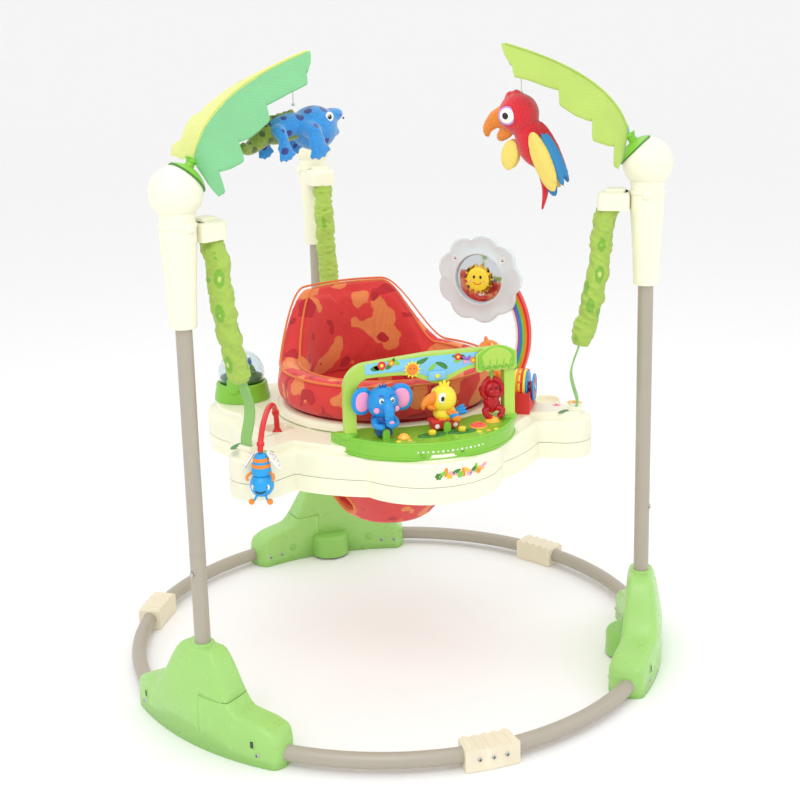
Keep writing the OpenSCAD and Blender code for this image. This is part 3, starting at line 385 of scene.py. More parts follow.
def make_free(form: Form, name: str, finishes: Sequence["Finish"], sharp: float = 60.0) -> bpy.types.Object:
    """A smooth object of a form that rides on nothing yet.

    Args:
        form: surfaces in millimetres.
        name: the piece's name.
        finishes: finishes, in the order of the form's paint.
        sharp: angle above which an edge stays hard.
    Returns:
        The new object.
    """
    mesh = bpy.data.meshes.new(name)
    mesh.from_pydata((np.vstack(form.points) * MM).tolist(), [], form.faces)
    for finish in finishes:
        mesh.materials.append(finish.material())
    mesh.polygons.foreach_set("material_index", np.array(form.paint, np.int32))
    weld(mesh, sharp)
    obj = bpy.data.objects.new(name, mesh)
    bpy.context.scene.collection.objects.link(obj)
    return obj


def make(form: Form, name: str, body: str, finishes: Sequence["Finish"],
         replaces: Sequence[str] = (), sharp: float = 38.0) -> bpy.types.Object:
    """Makes a piece from a form and puts it on its body.

    Args:
        form, name, finishes, sharp: as for make_free.
        body: the CAD body that it rides on.
        replaces: CAD nodes that it stands for.
    Returns:
        The new object.
    """
    return settle(make_free(form, name, finishes, sharp), body, replaces)


def thicken(obj: bpy.types.Object, thick: float, offset: float) -> None:
    """Adds a wall to a sheet; offset -1 puts it inside, 0 on both sides."""
    wall = obj.modifiers.new("Wall", "SOLIDIFY")
    wall.thickness, wall.offset = thick * MM, offset


def refine(obj: bpy.types.Object) -> None:
    """Adds one subdivision."""
    finer = obj.modifiers.new("Finer", "SUBSURF")
    finer.levels = finer.render_levels = 1


def smooth(mesh: bpy.types.Mesh) -> None:
    """Shades every face smooth."""
    mesh.polygons.foreach_set("use_smooth", np.ones(len(mesh.polygons), bool))


def settle(obj: bpy.types.Object, body: str,
           replaces: Sequence[str] = ()) -> bpy.types.Object:
    """Puts a finished piece on its body and hides the CAD nodes that it stands for."""
    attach(obj, body)
    if replaces:
        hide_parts(*replaces)
    LOG.info("%s rides on %s, %d faces", obj.name, body, len(obj.data.polygons))
    return obj


def copied(node: str, name: str, finish: "Finish") -> bpy.types.Object:
    """A new object with a copy of a CAD node's mesh, in one finish."""
    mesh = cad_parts[node].data.copy()
    mesh.name = name
    mesh.materials.clear()
    mesh.materials.append(finish.material())
    obj = bpy.data.objects.new(name, mesh)
    bpy.context.scene.collection.objects.link(obj)
    return obj


def softened(node: str, name: str, body: str, finish: "Finish",
             width: float = 1.0) -> bpy.types.Object:
    """A merged copy of a CAD node with its hard edges rounded; it stands for that node.

    Args:
        node: the CAD node.
        name: the new piece's name.
        body: the body that both ride on.
        finish: its finish.
        width: width of the rounding.
    Returns:
        The new object.
    """
    obj = copied(node, name, finish)
    mesh = obj.data
    bm = bmesh.new()
    bm.from_mesh(mesh)
    bmesh.ops.remove_doubles(bm, verts=bm.verts, dist=2e-6)
    bmesh.ops.dissolve_limit(bm, angle_limit=math.radians(0.8), verts=bm.verts, edges=bm.edges)
    bm.to_mesh(mesh)
    bm.free()
    smooth(mesh)
    for layer in list(mesh.attributes):
        if layer.name in ("custom_normal", "sharp_face", "sharp_edge"):
            mesh.attributes.remove(layer)
    mesh.set_sharp_from_angle(angle=math.radians(30))
    rim = obj.modifiers.new("Rim", "BEVEL")
    rim.width, rim.segments, rim.limit_method = width * MM, 3, "ANGLE"
    rim.angle_limit = math.radians(30)
    rim.harden_normals = True
    return settle(obj, body, (node,))


def dress(nodes: Iterable[str], finish: "Finish") -> None:
    """Gives CAD nodes that stay in view their finish."""
    for node in nodes:
        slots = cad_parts[node].data.materials
        slots.clear()
        slots.append(finish.material())
        LOG.info("%s dressed as %s", node, finish.name)


def inflate(obj: bpy.types.Object, voxel: float, cap: float, pressure: float = 4.0) -> None:
    """Swells a closed form as stuffed cloth: remesh, cloth under pressure, and a limit on how far points go.

    Args:
        obj: the piece, before it rides on a body.
        voxel: size of the remesh.
        cap: furthest that a point may move.
        pressure: pressure inside.
    """
    bpy.context.view_layer.objects.active = obj
    mod = obj.modifiers.new("Remesh", "REMESH")
    mod.mode, mod.voxel_size = "VOXEL", voxel * MM
    bpy.ops.object.modifier_apply(modifier=mod.name)
    rest = positions(obj)
    scene = bpy.context.scene
    cloth = obj.modifiers.new("Cloth", "CLOTH")
    cloth.settings.use_pressure = True
    cloth.settings.uniform_pressure_force = pressure
    cloth.settings.effector_weights.gravity = 0.0
    cloth.settings.quality = 5
    cloth.point_cache.frame_start, cloth.point_cache.frame_end = 1, 20
    for step in range(1, 21):
        scene.frame_set(step)
    seen = obj.evaluated_get(bpy.context.evaluated_depsgraph_get())
    moved = np.empty(len(seen.data.vertices) * 3, np.float32)
    seen.data.vertices.foreach_get("co", moved)
    shift = moved.reshape(-1, 3) - rest
    length = np.linalg.norm(shift, axis=1, keepdims=True)
    shift *= np.minimum(1.0, cap * MM / np.maximum(length, 1e-9))
    obj.modifiers.remove(cloth)
    scene.frame_set(1)
    rest = rest + shift
    set_positions(obj, rest)
    smooth(obj.data)


def positions(obj: bpy.types.Object) -> Array:
    """Vertex positions of an object's mesh, in metres."""
    co = np.empty(len(obj.data.vertices) * 3, np.float32)
    obj.data.vertices.foreach_get("co", co)
    return co.reshape(-1, 3)


def set_positions(obj: bpy.types.Object, co: Array) -> None:
    """Writes vertex positions, in metres."""
    obj.data.vertices.foreach_set("co", np.ascontiguousarray(co, np.float32).ravel())
    obj.data.update()


# ---- Finishes ----


class Graph:
    """Shader nodes of one material."""

    def __init__(self, name: str) -> None:
        """A material with a Principled shader and Object coordinates."""
        self.material = bpy.data.materials.new(name)
        self.material.use_nodes = True
        self.tree = self.material.node_tree
        self.tree.nodes.clear()
        out = self.tree.nodes.new("ShaderNodeOutputMaterial")
        self.shader = self.tree.nodes.new("ShaderNodeBsdfPrincipled")
        self.tree.links.new(self.shader.outputs["BSDF"], out.inputs["Surface"])
        self.place = self.add("TexCoord").outputs["Object"]

    def add(self, kind: str, settings: dict | None = None, **sockets: object) -> bpy.types.ShaderNode:
        """A node with its settings and sockets; a socket takes a value or another node's output."""
        node = self.tree.nodes.new("ShaderNode" + kind)
        for key, value in (settings or {}).items():
            setattr(node, key, value)
        for key, value in sockets.items():
            self.put(node.inputs[key.replace("_", " ")], value)
        return node

    def put(self, socket: bpy.types.NodeSocket, value: object) -> None:
        """Sets a socket's value, or links it."""
        if isinstance(value, bpy.types.NodeSocket):
            self.tree.links.new(value, socket)
        else:
            socket.default_value = value

    def set(self, **sockets: object) -> None:
        """Sets or links the shader's own sockets."""
        for key, value in sockets.items():
            self.put(self.shader.inputs[key.replace("_", " ")], value)

    def noise(self, scale: float, detail: float = 3.0, rough: float = 0.55,
              place: object = None) -> bpy.types.NodeSocket:
        """Noise from 0 to 1; scale is in waves per metre."""
        return self.add("TexNoise", Vector=place or self.place, Scale=scale, Detail=detail,
                        Roughness=rough).outputs["Fac"]

    def span(self, value: object, low: float, high: float, start: float, stop: float) -> bpy.types.NodeSocket:
        """Value from low..high brought to start..stop, and held there."""
        return self.add("MapRange", Value=value, From_Min=low, From_Max=high, To_Min=start,
                        To_Max=stop).outputs["Result"]

    def sum(self, kind: str, a: object, b: object) -> bpy.types.NodeSocket:
        """A sum, product or other operation on two values."""
        node = self.add("Math", {"operation": kind})
        self.put(node.inputs[0], a)
        self.put(node.inputs[1], b)
        return node.outputs[0]

    def mix(self, share: object, a: object, b: object) -> bpy.types.NodeSocket:
        """Colour a, with a share of b over it."""
        node = self.add("Mix", {"data_type": "RGBA"})
        for socket, value in ((node.inputs[0], share), (node.inputs[6], a), (node.inputs[7], b)):
            self.put(socket, (*value, 1.0) if isinstance(value, tuple) and len(value) == 3 else value)
        return node.outputs[2]

    def bump(self, height: object, strength: float, distance: float,
             under: object = None) -> bpy.types.NodeSocket:
        """Normal of a height; distance is in millimetres."""
        node = self.add("Bump", Height=height, Strength=strength, Distance=distance * MM)
        if under is not None:
            self.put(node.inputs["Normal"], under)
        return node.outputs["Normal"]


def shade(colour: Colour, factor: float) -> Colour:
    """A colour made darker or lighter by a factor."""
    return tuple(min(1.0, c * factor) for c in colour)


@dataclass(frozen=True)
class Finish:
    """A named finish; its material is made once."""

    name: str
    colour: Colour

    def material(self) -> bpy.types.Material:
        """The finish's material."""
        found = bpy.data.materials.get("look_" + self.name)
        if found is None:
            graph = Graph("look_" + self.name)
            self.paint(graph)
            found = graph.material
        return found

    def paint(self, g: Graph) -> None:
        """Draws the nodes; each kind of finish has its own."""
        g.set(Base_Color=(*self.colour, 1.0))


@dataclass(frozen=True)
class Moulded(Finish):
    """Moulded plastic: fine grain, slight mottling, and a painted highlight that lightens convex edges."""

    rough: float = 0.36
    grain: float = 0.12
    mottle: float = 0.05
    milky: float = 0.0
    clear: float = 0.0
    coat: float = 0.15
    glow: float = 0.0

    def paint(self, g: Graph) -> None:
        """Colour from slow noise with a painted highlight on convex edges, roughness from a finer one, grain
        as a bump.
        """
        slow = g.noise(14.0, 2.0)
        # painted highlight: where pointiness marks a convex edge, the colour is mixed up to 35% towards a
        # lighter copy
        edge_highlight = g.span(g.add("NewGeometry").outputs["Pointiness"], 0.53, 0.62, 0.0, 0.35)
        tone = g.mix(g.span(slow, 0.3, 0.7, 0.0, 1.0), shade(self.colour, 1 - self.mottle),
                     shade(self.colour, 1 + self.mottle))
        g.set(Base_Color=g.mix(edge_highlight, tone, shade(self.colour, 1.35)),
              Roughness=g.span(g.noise(70.0), 0.3, 0.7, self.rough - 0.05, self.rough + 0.07),
              Normal=g.bump(g.noise(1500.0, 2.0), self.grain, 0.12, g.bump(g.noise(22.0, 1.0), 0.05, 1.2)),
              Coat_Weight=self.coat, Coat_Roughness=0.22, Transmission_Weight=self.clear, IOR=1.46)
        if self.milky:
            g.set(Subsurface_Weight=self.milky, Subsurface_Radius=(1.0, 1.0, 1.0), Subsurface_Scale=6.0 * MM)
        if self.glow:
            g.set(Emission_Color=(*self.colour, 1.0), Emission_Strength=self.glow)


@dataclass(frozen=True)
class Metal(Finish):
    """Painted or plated metal with fine brushing and specks of wear."""

    rough: float = 0.3
    metallic: float = 1.0
    brush: float = 0.2

    def paint(self, g: Graph) -> None:
        """Brushing is noise stretched along Z; specks are the peaks of a finer one."""
        long = g.add("Mapping", Vector=g.place, Scale=(900.0, 900.0, 40.0)).outputs["Vector"]
        brushed = g.add("TexNoise", Vector=long, Scale=1.0, Detail=2.0).outputs["Fac"]
        specks = g.span(g.noise(420.0, 4.0), 0.68, 0.74, 0.0, 0.5)
        g.set(Base_Color=g.mix(specks, g.mix(brushed, shade(self.colour, 0.94), shade(self.colour, 1.05)),
                               shade(self.colour, 0.7)),
              Metallic=self.metallic, Coat_Weight=0.1, Coat_Roughness=0.3,
              Roughness=g.span(brushed, 0.3, 0.7, self.rough - 0.05, self.rough + 0.08),
              Normal=g.bump(brushed, self.brush, 0.05, g.bump(g.noise(60.0), 0.06, 0.5)))


class Print(Enum):
    """What is printed on a cloth."""

    NONE = "none"
    PATCHES = "patches"
    LEAVES = "leaves"
    SPOTS = "spots"


@dataclass(frozen=True)
class Cloth(Finish):
    """Woven cloth, with a print in a second and a third colour."""

    second: Colour = (0.9, 0.35, 0.1)
    third: Colour = (0.6, 0.05, 0.05)
    printed: Print = Print.NONE
    size: float = 24.0
    threads: float = 0.9
    rough: float = 0.85
    sheen: float = 0.25

    def paint(self, g: Graph) -> None:
        """Crossed waves a thread wide give the weave, with painted shade between the threads; a print is
        noise or cells cut at a level.
        """
        wave = {"wave_type": "BANDS", "wave_profile": "SIN"}
        pitch = 1000.0 / self.threads / 6.283
        bands = [g.add("TexWave", {**wave, "bands_direction": d}, Vector=g.place, Scale=pitch,
                       Distortion=0.6, Detail=1.0).outputs["Fac"] for d in ("X", "Y", "Z")]
        weave = g.sum("ADD", g.sum("MULTIPLY", bands[0], bands[2]), g.sum("MULTIPLY", bands[1], bands[2]))
        slow = g.noise(16.0, 4.0)
        tone = g.mix(slow, shade(self.colour, 0.86), shade(self.colour, 1.12))
        tone = self.print_over(g, tone)
        # painted shade: where the weave is low, between threads, the colour is mixed towards a darker copy
        tone = g.mix(g.span(weave, 0.0, 1.2, 0.22, 0.0), tone, shade(self.colour, 0.45))
        folds = g.bump(g.noise(46.0, 4.0, 0.6), 0.35, 2.2)
        g.set(Base_Color=tone, Roughness=self.rough, Sheen_Weight=self.sheen, Sheen_Roughness=0.45,
              Normal=g.bump(weave, 0.4, 0.35, folds))

    def print_over(self, g: Graph, tone: object) -> object:
        """The print's two colours over the cloth's own."""
        if self.printed is Print.NONE:
            return tone
        scale = 1000.0 / self.size
        if self.printed is Print.PATCHES:
            a = g.noise(scale, 2.0, 0.4)
            b = g.noise(scale * 1.7, 1.0, 0.3, g.add("Mapping", Vector=g.place,
                                                     Location=(3.0, 1.7, 0.4)).outputs["Vector"])
            tone = g.mix(g.span(a, 0.555, 0.57, 0.0, 1.0), tone, self.second)
            return g.mix(g.span(b, 0.63, 0.64, 0.0, 1.0), tone, self.third)
        long = (1.0, 1.0, 0.55) if self.printed is Print.LEAVES else (1.0, 1.0, 1.0)
        turned = g.add("Mapping", Vector=g.place, Scale=long, Rotation=(0.6, 0.3, 0.2)).outputs["Vector"]
        cells = g.add("TexVoronoi", {"feature": "F1"}, Vector=turned, Scale=scale, Randomness=0.9)
        ripple = g.sum("ADD", cells.outputs["Distance"], g.sum("MULTIPLY", g.noise(scale * 4.0), 0.14))
        tone = g.mix(g.span(ripple, 0.36, 0.39, 1.0, 0.0), tone, self.second)
        return g.mix(g.span(ripple, 0.17, 0.19, 1.0, 0.0), tone, self.third)


@dataclass(frozen=True)
class Plush(Finish):
    """Short pile: tufts as a strong fine bump, painted shade between them with lighter tips, and a soft
    sheen.
    """

    pile: float = 2.4
    spots: float = 0.0
    spot_colour: Colour = (0.02, 0.05, 0.3)

    def paint(self, g: Graph) -> None:
        """Tufts are noise a pile wide; spots are cells cut at a radius."""
        tufts = g.noise(1000.0 / self.pile, 5.0, 0.7)
        # painted shade: the tufts' own bump noise makes the colour darker between tufts and lighter on their
        # tips
        tone = g.mix(g.span(tufts, 0.3, 0.7, 0.0, 1.0), shade(self.colour, 0.62), shade(self.colour, 1.2))
        if self.spots:
            cells = g.add("TexVoronoi", {"feature": "F1"}, Vector=g.place, Scale=1000.0 / self.spots,
                          Randomness=0.8)
            edge = g.sum("ADD", cells.outputs["Distance"], g.sum("MULTIPLY", tufts, 0.12))
            tone = g.mix(g.span(edge, 0.37, 0.40, 1.0, 0.0), tone, self.spot_colour)
        g.set(Base_Color=tone, Roughness=0.9, Sheen_Weight=0.6, Sheen_Roughness=0.5,
              Normal=g.bump(tufts, 0.7, 0.9, g.bump(g.noise(90.0), 0.3, 1.5)))


@dataclass(frozen=True)
class Clear(Finish):
    """Clear or tinted plastic with faint ripples."""

    rough: float = 0.05
    pass_through: float = 1.0
    glow: float = 0.0

    def paint(self, g: Graph) -> None:
        """Roughness and ripples come from noise."""
        g.set(Base_Color=g.mix(g.noise(30.0), shade(self.colour, 0.95), shade(self.colour, 1.04)),
              Transmission_Weight=self.pass_through, IOR=1.4,
              Roughness=g.span(g.noise(90.0), 0.3, 0.7, self.rough, self.rough + 0.05),
              Normal=g.bump(g.noise(40.0, 2.0), 0.12, 0.6))
        if self.glow:
            g.set(Emission_Color=(*self.colour, 1.0), Emission_Strength=self.glow)


CREAM = Moulded("cream_plastic", srgb(248, 246, 220), rough=0.34, mottle=0.015, milky=0.05)
BONE = Moulded("bone_plastic", srgb(236, 226, 200), rough=0.5, grain=0.3, mottle=0.02)
APPLE = Moulded("apple_plastic", srgb(162, 213, 116), rough=0.3, mottle=0.02)
# painted shade: a darker, rougher copy of the apple plastic for the tab and bosses on the foot's inner side
APPLE_SHADED = Moulded("apple_plastic_painted_shade", srgb(146, 202, 98), rough=0.4, mottle=0.03)
LEAF_GREEN = Moulded("leaf_green_plastic", srgb(132, 200, 60), rough=0.3, mottle=0.02)
LIME = Moulded("lime_plastic", srgb(176, 212, 84), rough=0.34, mottle=0.02)
DEEP_GREEN = Moulded("deep_green_plastic", srgb(60, 130, 50), rough=0.35, mottle=0.03)
TAUPE = Metal("taupe_paint", srgb(178, 170, 155), rough=0.4, metallic=0.15, brush=0.06)
STEEL = Metal("bright_steel", srgb(196, 198, 200), rough=0.28)
SHADOW = Moulded("seam_shadow", srgb(70, 74, 60), rough=0.8, mottle=0.02)
WHITE = Moulded("white_plastic", srgb(246, 246, 240), rough=0.35, mottle=0.01)
BLACK = Moulded("black_plastic", srgb(24, 24, 28), rough=0.3, mottle=0.02)
BLUE = Moulded("blue_plastic", srgb(20, 145, 220), rough=0.32, mottle=0.03)
NAVY = Moulded("navy_plastic", srgb(22, 84, 160), rough=0.36, mottle=0.03)
SKY = Moulded("sky_plastic", srgb(130, 200, 235), rough=0.35, mottle=0.02)
PINK = Moulded("pink_plastic", srgb(248, 160, 200), rough=0.36, mottle=0.02)
YELLOW = Moulded("yellow_plastic", srgb(252, 226, 60), rough=0.34, mottle=0.02)
AMBER = Moulded("amber_plastic", srgb(245, 190, 60), rough=0.34, mottle=0.02)
ORANGE = Moulded("orange_plastic", srgb(245, 140, 40), rough=0.34, mottle=0.02)
SCARLET = Moulded("scarlet_plastic", srgb(222, 44, 44), rough=0.34, mottle=0.03)
PURPLE = Moulded("purple_plastic", srgb(150, 90, 180), rough=0.36, mottle=0.02)
LILAC = Moulded("lilac_plastic", srgb(190, 150, 215), rough=0.36, mottle=0.02)
SEAT_CLOTH = Cloth("seat_cloth", srgb(232, 62, 60), second=srgb(246, 146, 84), third=srgb(196, 34, 46),
                   printed=Print.PATCHES, size=52.0, threads=1.1)
PIPING = Cloth("seat_piping", srgb(240, 128, 60), threads=0.8)
SLEEVE_CLOTH = Cloth("sleeve_cloth", srgb(178, 210, 92), second=srgb(132, 190, 66), third=srgb(218, 230, 132),
                     printed=Print.LEAVES, size=24.0, threads=0.8)
WEBBING = Cloth("strap_webbing", srgb(150, 204, 116), threads=1.6, sheen=0.1)
MINT_LEAF = Cloth("mint_leaf_cloth", srgb(132, 204, 146))
PALE_LEAF = Cloth("pale_leaf_cloth", srgb(232, 238, 138))
LIME_LEAF = Cloth("lime_leaf_cloth", srgb(188, 216, 104))
TEAL_LEAF = Cloth("teal_leaf_cloth", srgb(96, 194, 158))
CORD_CLOTH = Cloth("white_cord_cloth", srgb(238, 238, 232), threads=0.5)
MILKY = Moulded("milky_plastic", srgb(238, 248, 252), rough=0.16, mottle=0.01, milky=0.2, clear=0.2, coat=0.4)
MIRROR = Metal("mirror_sheet", srgb(214, 218, 222), rough=0.08, brush=0.02)
SKYBLUE = Moulded("bug_blue_plastic", srgb(28, 162, 234), rough=0.3, mottle=0.03)


# ---- Studio ----


@dataclass(frozen=True)
class Studio:
    """Floor, lights and the camera."""

    eye: tuple[float, float, float] = (-603.3, -1882.9, 959.6)
    heading: tuple[float, float] = (0.3051, 0.9523)
    pitch: float = 12.76
    roll: float = -1.562
    lens: float = 60.08
    shift: tuple[float, float] = (0.0192, -0.094)

    def build(self) -> None:
        """Makes the floor, the lights and the camera."""
        self.floor()
        self.light("Key", (-900, -1500, 2100), 1500, 15.0)
        self.light("Fill", (1700, -900, 1300), 1500, 4.0)
        self.light("Top", (100, 500, 2400), 1800, 6.0)
        world = bpy.data.worlds.new("Studio")
        world.use_nodes = True
        world.node_tree.nodes["Background"].inputs["Color"].default_value = (1.0, 1.0, 1.0, 1.0)
        world.node_tree.nodes["Background"].inputs["Strength"].default_value = 0.95
        bpy.context.scene.world = world
        bpy.context.scene.view_settings.view_transform = "Standard"
        self.camera()

    def floor(self) -> None:
        """A pale floor whose far rim sweeps up all round: flat to 7 m, then a quarter circle."""
        t = np.linspace(0, 80, 24)
        profile = np.vstack([[(1.0, 0.0), (1500.0, 0.0), (7000.0, 0.0)],
                             np.stack([7000 + 6000 * sind(t[1:]), 6000 * (1 - cosd(t[1:]))], 1)])
        form = Form().grid(lathe(profile, 96), caps="s")
        obj = make_free(form, "Floor", [Moulded("floor", (0.97, 0.97, 0.97), rough=0.7, grain=0.02,
                                                mottle=0.004, coat=0.0)])

    def light(self, name: str, place: Sequence[float], size: float, power: float) -> None:
        """A square soft light that looks at the middle of the jumper."""
        data = bpy.data.lights.new(name, "AREA")
        data.shape, data.size, data.energy = "SQUARE", size * MM, power
        obj = bpy.data.objects.new(name, data)
        back = np.array(place, float) - np.array([0, 0, 400.0])
        back /= np.linalg.norm(back)
        side = np.cross([0, 0, 1.0], back)
        side /= np.linalg.norm(side)
        self.aim(obj, place, side, np.cross(back, side), back)
        bpy.context.scene.collection.objects.link(obj)

    def camera(self) -> None:
        """The camera: forward from heading and pitch, then rolled about its own line of sight."""
        data = bpy.data.cameras.new("Camera")
        data.lens, data.sensor_width = self.lens, 36.0
        data.shift_x, data.shift_y = self.shift
        data.clip_end = 100.0
        obj = bpy.data.objects.new("Camera", data)
        ahead = np.array([*np.array(self.heading) * cosd(self.pitch), -sind(self.pitch)])
        right = np.cross(ahead, [0, 0, 1.0])
        right /= np.linalg.norm(right)
        up = np.cross(right, ahead)
        c, s = cosd(self.roll), sind(self.roll)
        self.aim(obj, self.eye, c * right + s * up, c * up - s * right, -ahead)
        bpy.context.scene.collection.objects.link(obj)
        bpy.context.scene.camera = obj

    @staticmethod
    def aim(obj: bpy.types.Object, place: Sequence[float], x: Array, y: Array, z: Array) -> None:
        """Puts an object at a place with the three axes given."""
        m = np.eye(4)
        m[:3, 0], m[:3, 1], m[:3, 2], m[:3, 3] = x, y, z, np.array(place, float) * MM
        obj.matrix_world = Matrix(m.tolist())


# ---- Frame ----

LEFT, RIGHT, BACK = 210.0, 330.0, 90.0
POSTS = {"left": LEFT, "right": RIGHT, "back": BACK}
CONNECTORS = (270.0, 30.0, 150.0)


@dataclass
class FloorFrame:
    """Ring, feet, legs, housings and caps."""

    ring_r: float = 400.0
    post_r: float = 388.0
    tube_r: float = 11.0
    ring_z: float = 18.0
    foot_half: float = 142.0
    hump_h: float = 138.0
    shoulder_h: float = 62.0
    foot_in: float = 367.0
    foot_out: float = 421.0
    top_out: float = 409.0
    seam_y: float = 20.0
    seam_z: float = 78.0
    ball_z: float = 756.0
    ball_r: float = 35.5
    mouth_tilt: float = 45.0
    mouth_r: float = 25.0
    housing_len: float = 176.0
    spring_x: float = 338.0
    button_z: float = 241.0
    foot_wall: float = 2.6
    foot_bend: float = 394.0
    hump_flat: float = 24.0
    hump_fall: float = 60.0
    end_round: float = 30.0
    boxiness: float = 0.30

    def build(self) -> None:
        """Makes every piece of the frame."""
        dress([f"{n}_{k}" for n in ("base_tube", "leg_lower", "leg_upper") for k in POSTS], TAUPE)
        dress([f"snap_button_{k}" for k in POSTS], STEEL)
        softened("ring_connectors", "ring_connector_blocks", "frame", BONE, 1.6)
        for key, angle in POSTS.items():
            self.foot(key, angle)
            self.housing(key, angle)
        self.covers()
        self.screws()
        self.leg_collars()

    def foot_top(self, y: Array) -> Array:
        """Height of the foot over its width: a bell hump, shoulders beside it, and rounded ends."""
        a = np.abs(y)
        hump = 0.5 + 0.5 * cosd(180 * np.clip((a - self.hump_flat) / self.hump_fall, 0, 1))
        fall = 8 * np.clip((a - self.hump_flat - self.hump_fall) / 40, 0, 1)
        end = np.sqrt(np.maximum(0, 1 - np.clip((a - self.foot_half + self.end_round) / self.end_round, 0,
                                                1) ** 2))
        return (self.shoulder_h + (self.hump_h - self.shoulder_h) * hump - fall) * (0.45 + 0.55 * end)

    def foot_body(self) -> bmesh.types.BMesh:
        """The foot as a closed body: at each y a soft arch of the height there, bent along the ring.

        Returns:
            A bmesh in millimetres in the post's frame; its section is x = c + a cos(t)^p, z = h sin(t)^p.
        """
        y = np.sort(np.concatenate([self.foot_half * np.sin(np.radians(np.linspace(-90, 90, 71))),
                                    [19.0, 21.0]]))
        t = np.linspace(0, 180, 43)
        top = self.foot_top(y)[:, None]
        up, side = bend(sind(t), self.boxiness), bend(cosd(t), self.boxiness)
        z = top * up
        lean = np.clip((z - self.shoulder_h) / (self.hump_h - self.shoulder_h), 0, 1)
        pinch = 1 - 0.55 * np.clip((np.abs(y) - self.foot_half + 12) / 12, 0, 1)[:, None] ** 2
        outer = self.foot_out + (self.top_out - self.foot_out) * lean
        middle, half = (outer + self.foot_in) / 2, (outer - self.foot_in) / 2 * pinch
        r = middle + half * side
        a = np.degrees(np.arcsin(np.clip(y / self.foot_bend, -1, 1)))[:, None]
        points = np.stack([r * cosd(a), r * sind(a), z], -1)
        form = Form().grid(points, wrap="v", caps="se")
        bm = bmesh.new()
        verts = [bm.verts.new(p) for p in np.vstack(form.points)]
        for f in form.faces:
            bm.faces.new([verts[i] for i in f])
        bmesh.ops.remove_doubles(bm, verts=bm.verts, dist=0.02)
        bmesh.ops.recalc_face_normals(bm, faces=bm.faces)
        return bm

    def cut(self, bm: bmesh.types.BMesh, point: Sequence[float], away: Sequence[float]) -> None:
        """Cuts a body by a plane and drops what lies on the side that away points to."""
        bmesh.ops.bisect_plane(bm, geom=bm.verts[:] + bm.edges[:] + bm.faces[:], dist=0.001, plane_co=point,
                               plane_no=away, clear_outer=True)

    def shell(self, part: int) -> Form:
        """The part of the foot on one side of its seams, without its open floor face.

        Args:
            part: 0 beside the seam, 1 above the cover, 2 the cover.
        Returns:
            Its surface as a form.
        """
        bm = self.foot_body()
        gap = 0.55
        self.cut(bm, (0, 0, 0.4), (0, 0, -1))
        if part == 0:
            self.cut(bm, (0, self.seam_y, 0), (0, 1, 0))
        else:
            self.cut(bm, (0, self.seam_y + (gap if part == 2 else 0), 0), (0, -1, 0))
            self.cut(bm, (0, 0, self.seam_z - (gap if part == 2 else 0)), (0, 0, 1 if part == 2 else -1))
        form = Form()
        bm.verts.ensure_lookup_table()
        bm.verts.index_update()
        form.points.append(np.array([v.co[:] for v in bm.verts]))
        form.faces = [[v.index for v in f.verts] for f in bm.faces]
        form.paint = [0] * len(form.faces)
        form.count = len(bm.verts)
        bm.free()
        return form

    def joined(self, forms: Sequence[Form], places: Sequence[Place]) -> Form:
        """Several forms in one, each put in its own place."""
        out = Form()
        for form, place in zip(forms, places):
            out.points.append(place(np.vstack(form.points)))
            out.faces += [[i + out.count for i in f] for f in form.faces]
            out.paint += form.paint
            out.count += form.count
        return out

    def outer_face(self, y: float, z: float) -> Array:
        """Point on the foot's outer face, in the post's frame."""
        a = math.degrees(math.asin(y / self.foot_bend))
        lean = min(1.0, max(0.0, (z - self.shoulder_h) / (self.hump_h - self.shoulder_h)))
        r = self.foot_out + (self.top_out - self.foot_out) * lean
        return np.array([r * cosd(a), r * sind(a), z])

    def foot(self, key: str, angle: float) -> None:
        """One foot: its shell beside and above the cover, the leg's socket, the tab and fittings."""
        form = self.joined([self.shell(0), self.shell(1)], [post(angle), post(angle)])
        shell = make(form, f"foot_shell_{key}", "frame", [APPLE], (f"foot_{key}",), sharp=50)
        thicken(shell, self.foot_wall, -1.0)
        place = post(angle, self.post_r)
        fittings = Form()
        collar = filleted([(self.tube_r + 0.2, 122), (self.tube_r + 6, 122), (self.tube_r + 5.2, 139.5),
                           (self.tube_r + 0.3, 140.2)], 2.2)
        fittings.grid(lathe(np.vstack([collar, [(self.tube_r + 0.2, 130)]])), place, wrap="uv")
        tab = filleted([(0, 41.5), (30, 41.5), (33.5, 36), (34, 3)], 6.0)
        fittings.grid(lathe(tab, 40, 90, 270), post(angle, self.foot_in + 3), wrap="", paint=1)
        for y in (-104.0, 104.0):
            c = self.outer_face(y, 32.0)
            tilt = math.degrees(math.atan2(c[1], c[0]))
            spot = post(angle).move(*c).spin("z", tilt).spin("y", 90)
            fittings.slab(rounded(-7, 7, -4.5, 4.5, 2.0), -1.0, 0.9, spot, 0.5)
            fittings.slab(rounded(-5, 5, -2.6, 2.6, 1.4), -0.6, 1.05, spot,
                          0.2, paint=2)
        for side in (-1, 1):
            a = math.degrees(math.asin(side * 78 / self.foot_bend))
            boss = post(angle).spin("z", a).move(self.foot_in + 1.5, 0, 26).spin("y", -90)
            fittings.grid(lathe([(0.1, 2.2), (6.0, 2.2), (7.6, 1.0), (8.2, -3)], 24), boss, caps="s", paint=1)
        # the tab and bosses (paint 1) take the darker copy of the apple plastic as painted shade on the
        # foot's inner side
        make(fittings, f"foot_fittings_{key}", "frame", [APPLE, APPLE_SHADED, SHADOW],
             sharp=40)

    def covers(self) -> None:
        """The three end covers."""
        form = self.joined([self.shell(2)] * 3, [post(a) for a in POSTS.values()])
        obj = make(form, "foot_cover_shells", "frame", [APPLE], ("foot_covers",), sharp=50)
        thicken(obj, self.foot_wall, -1.0)

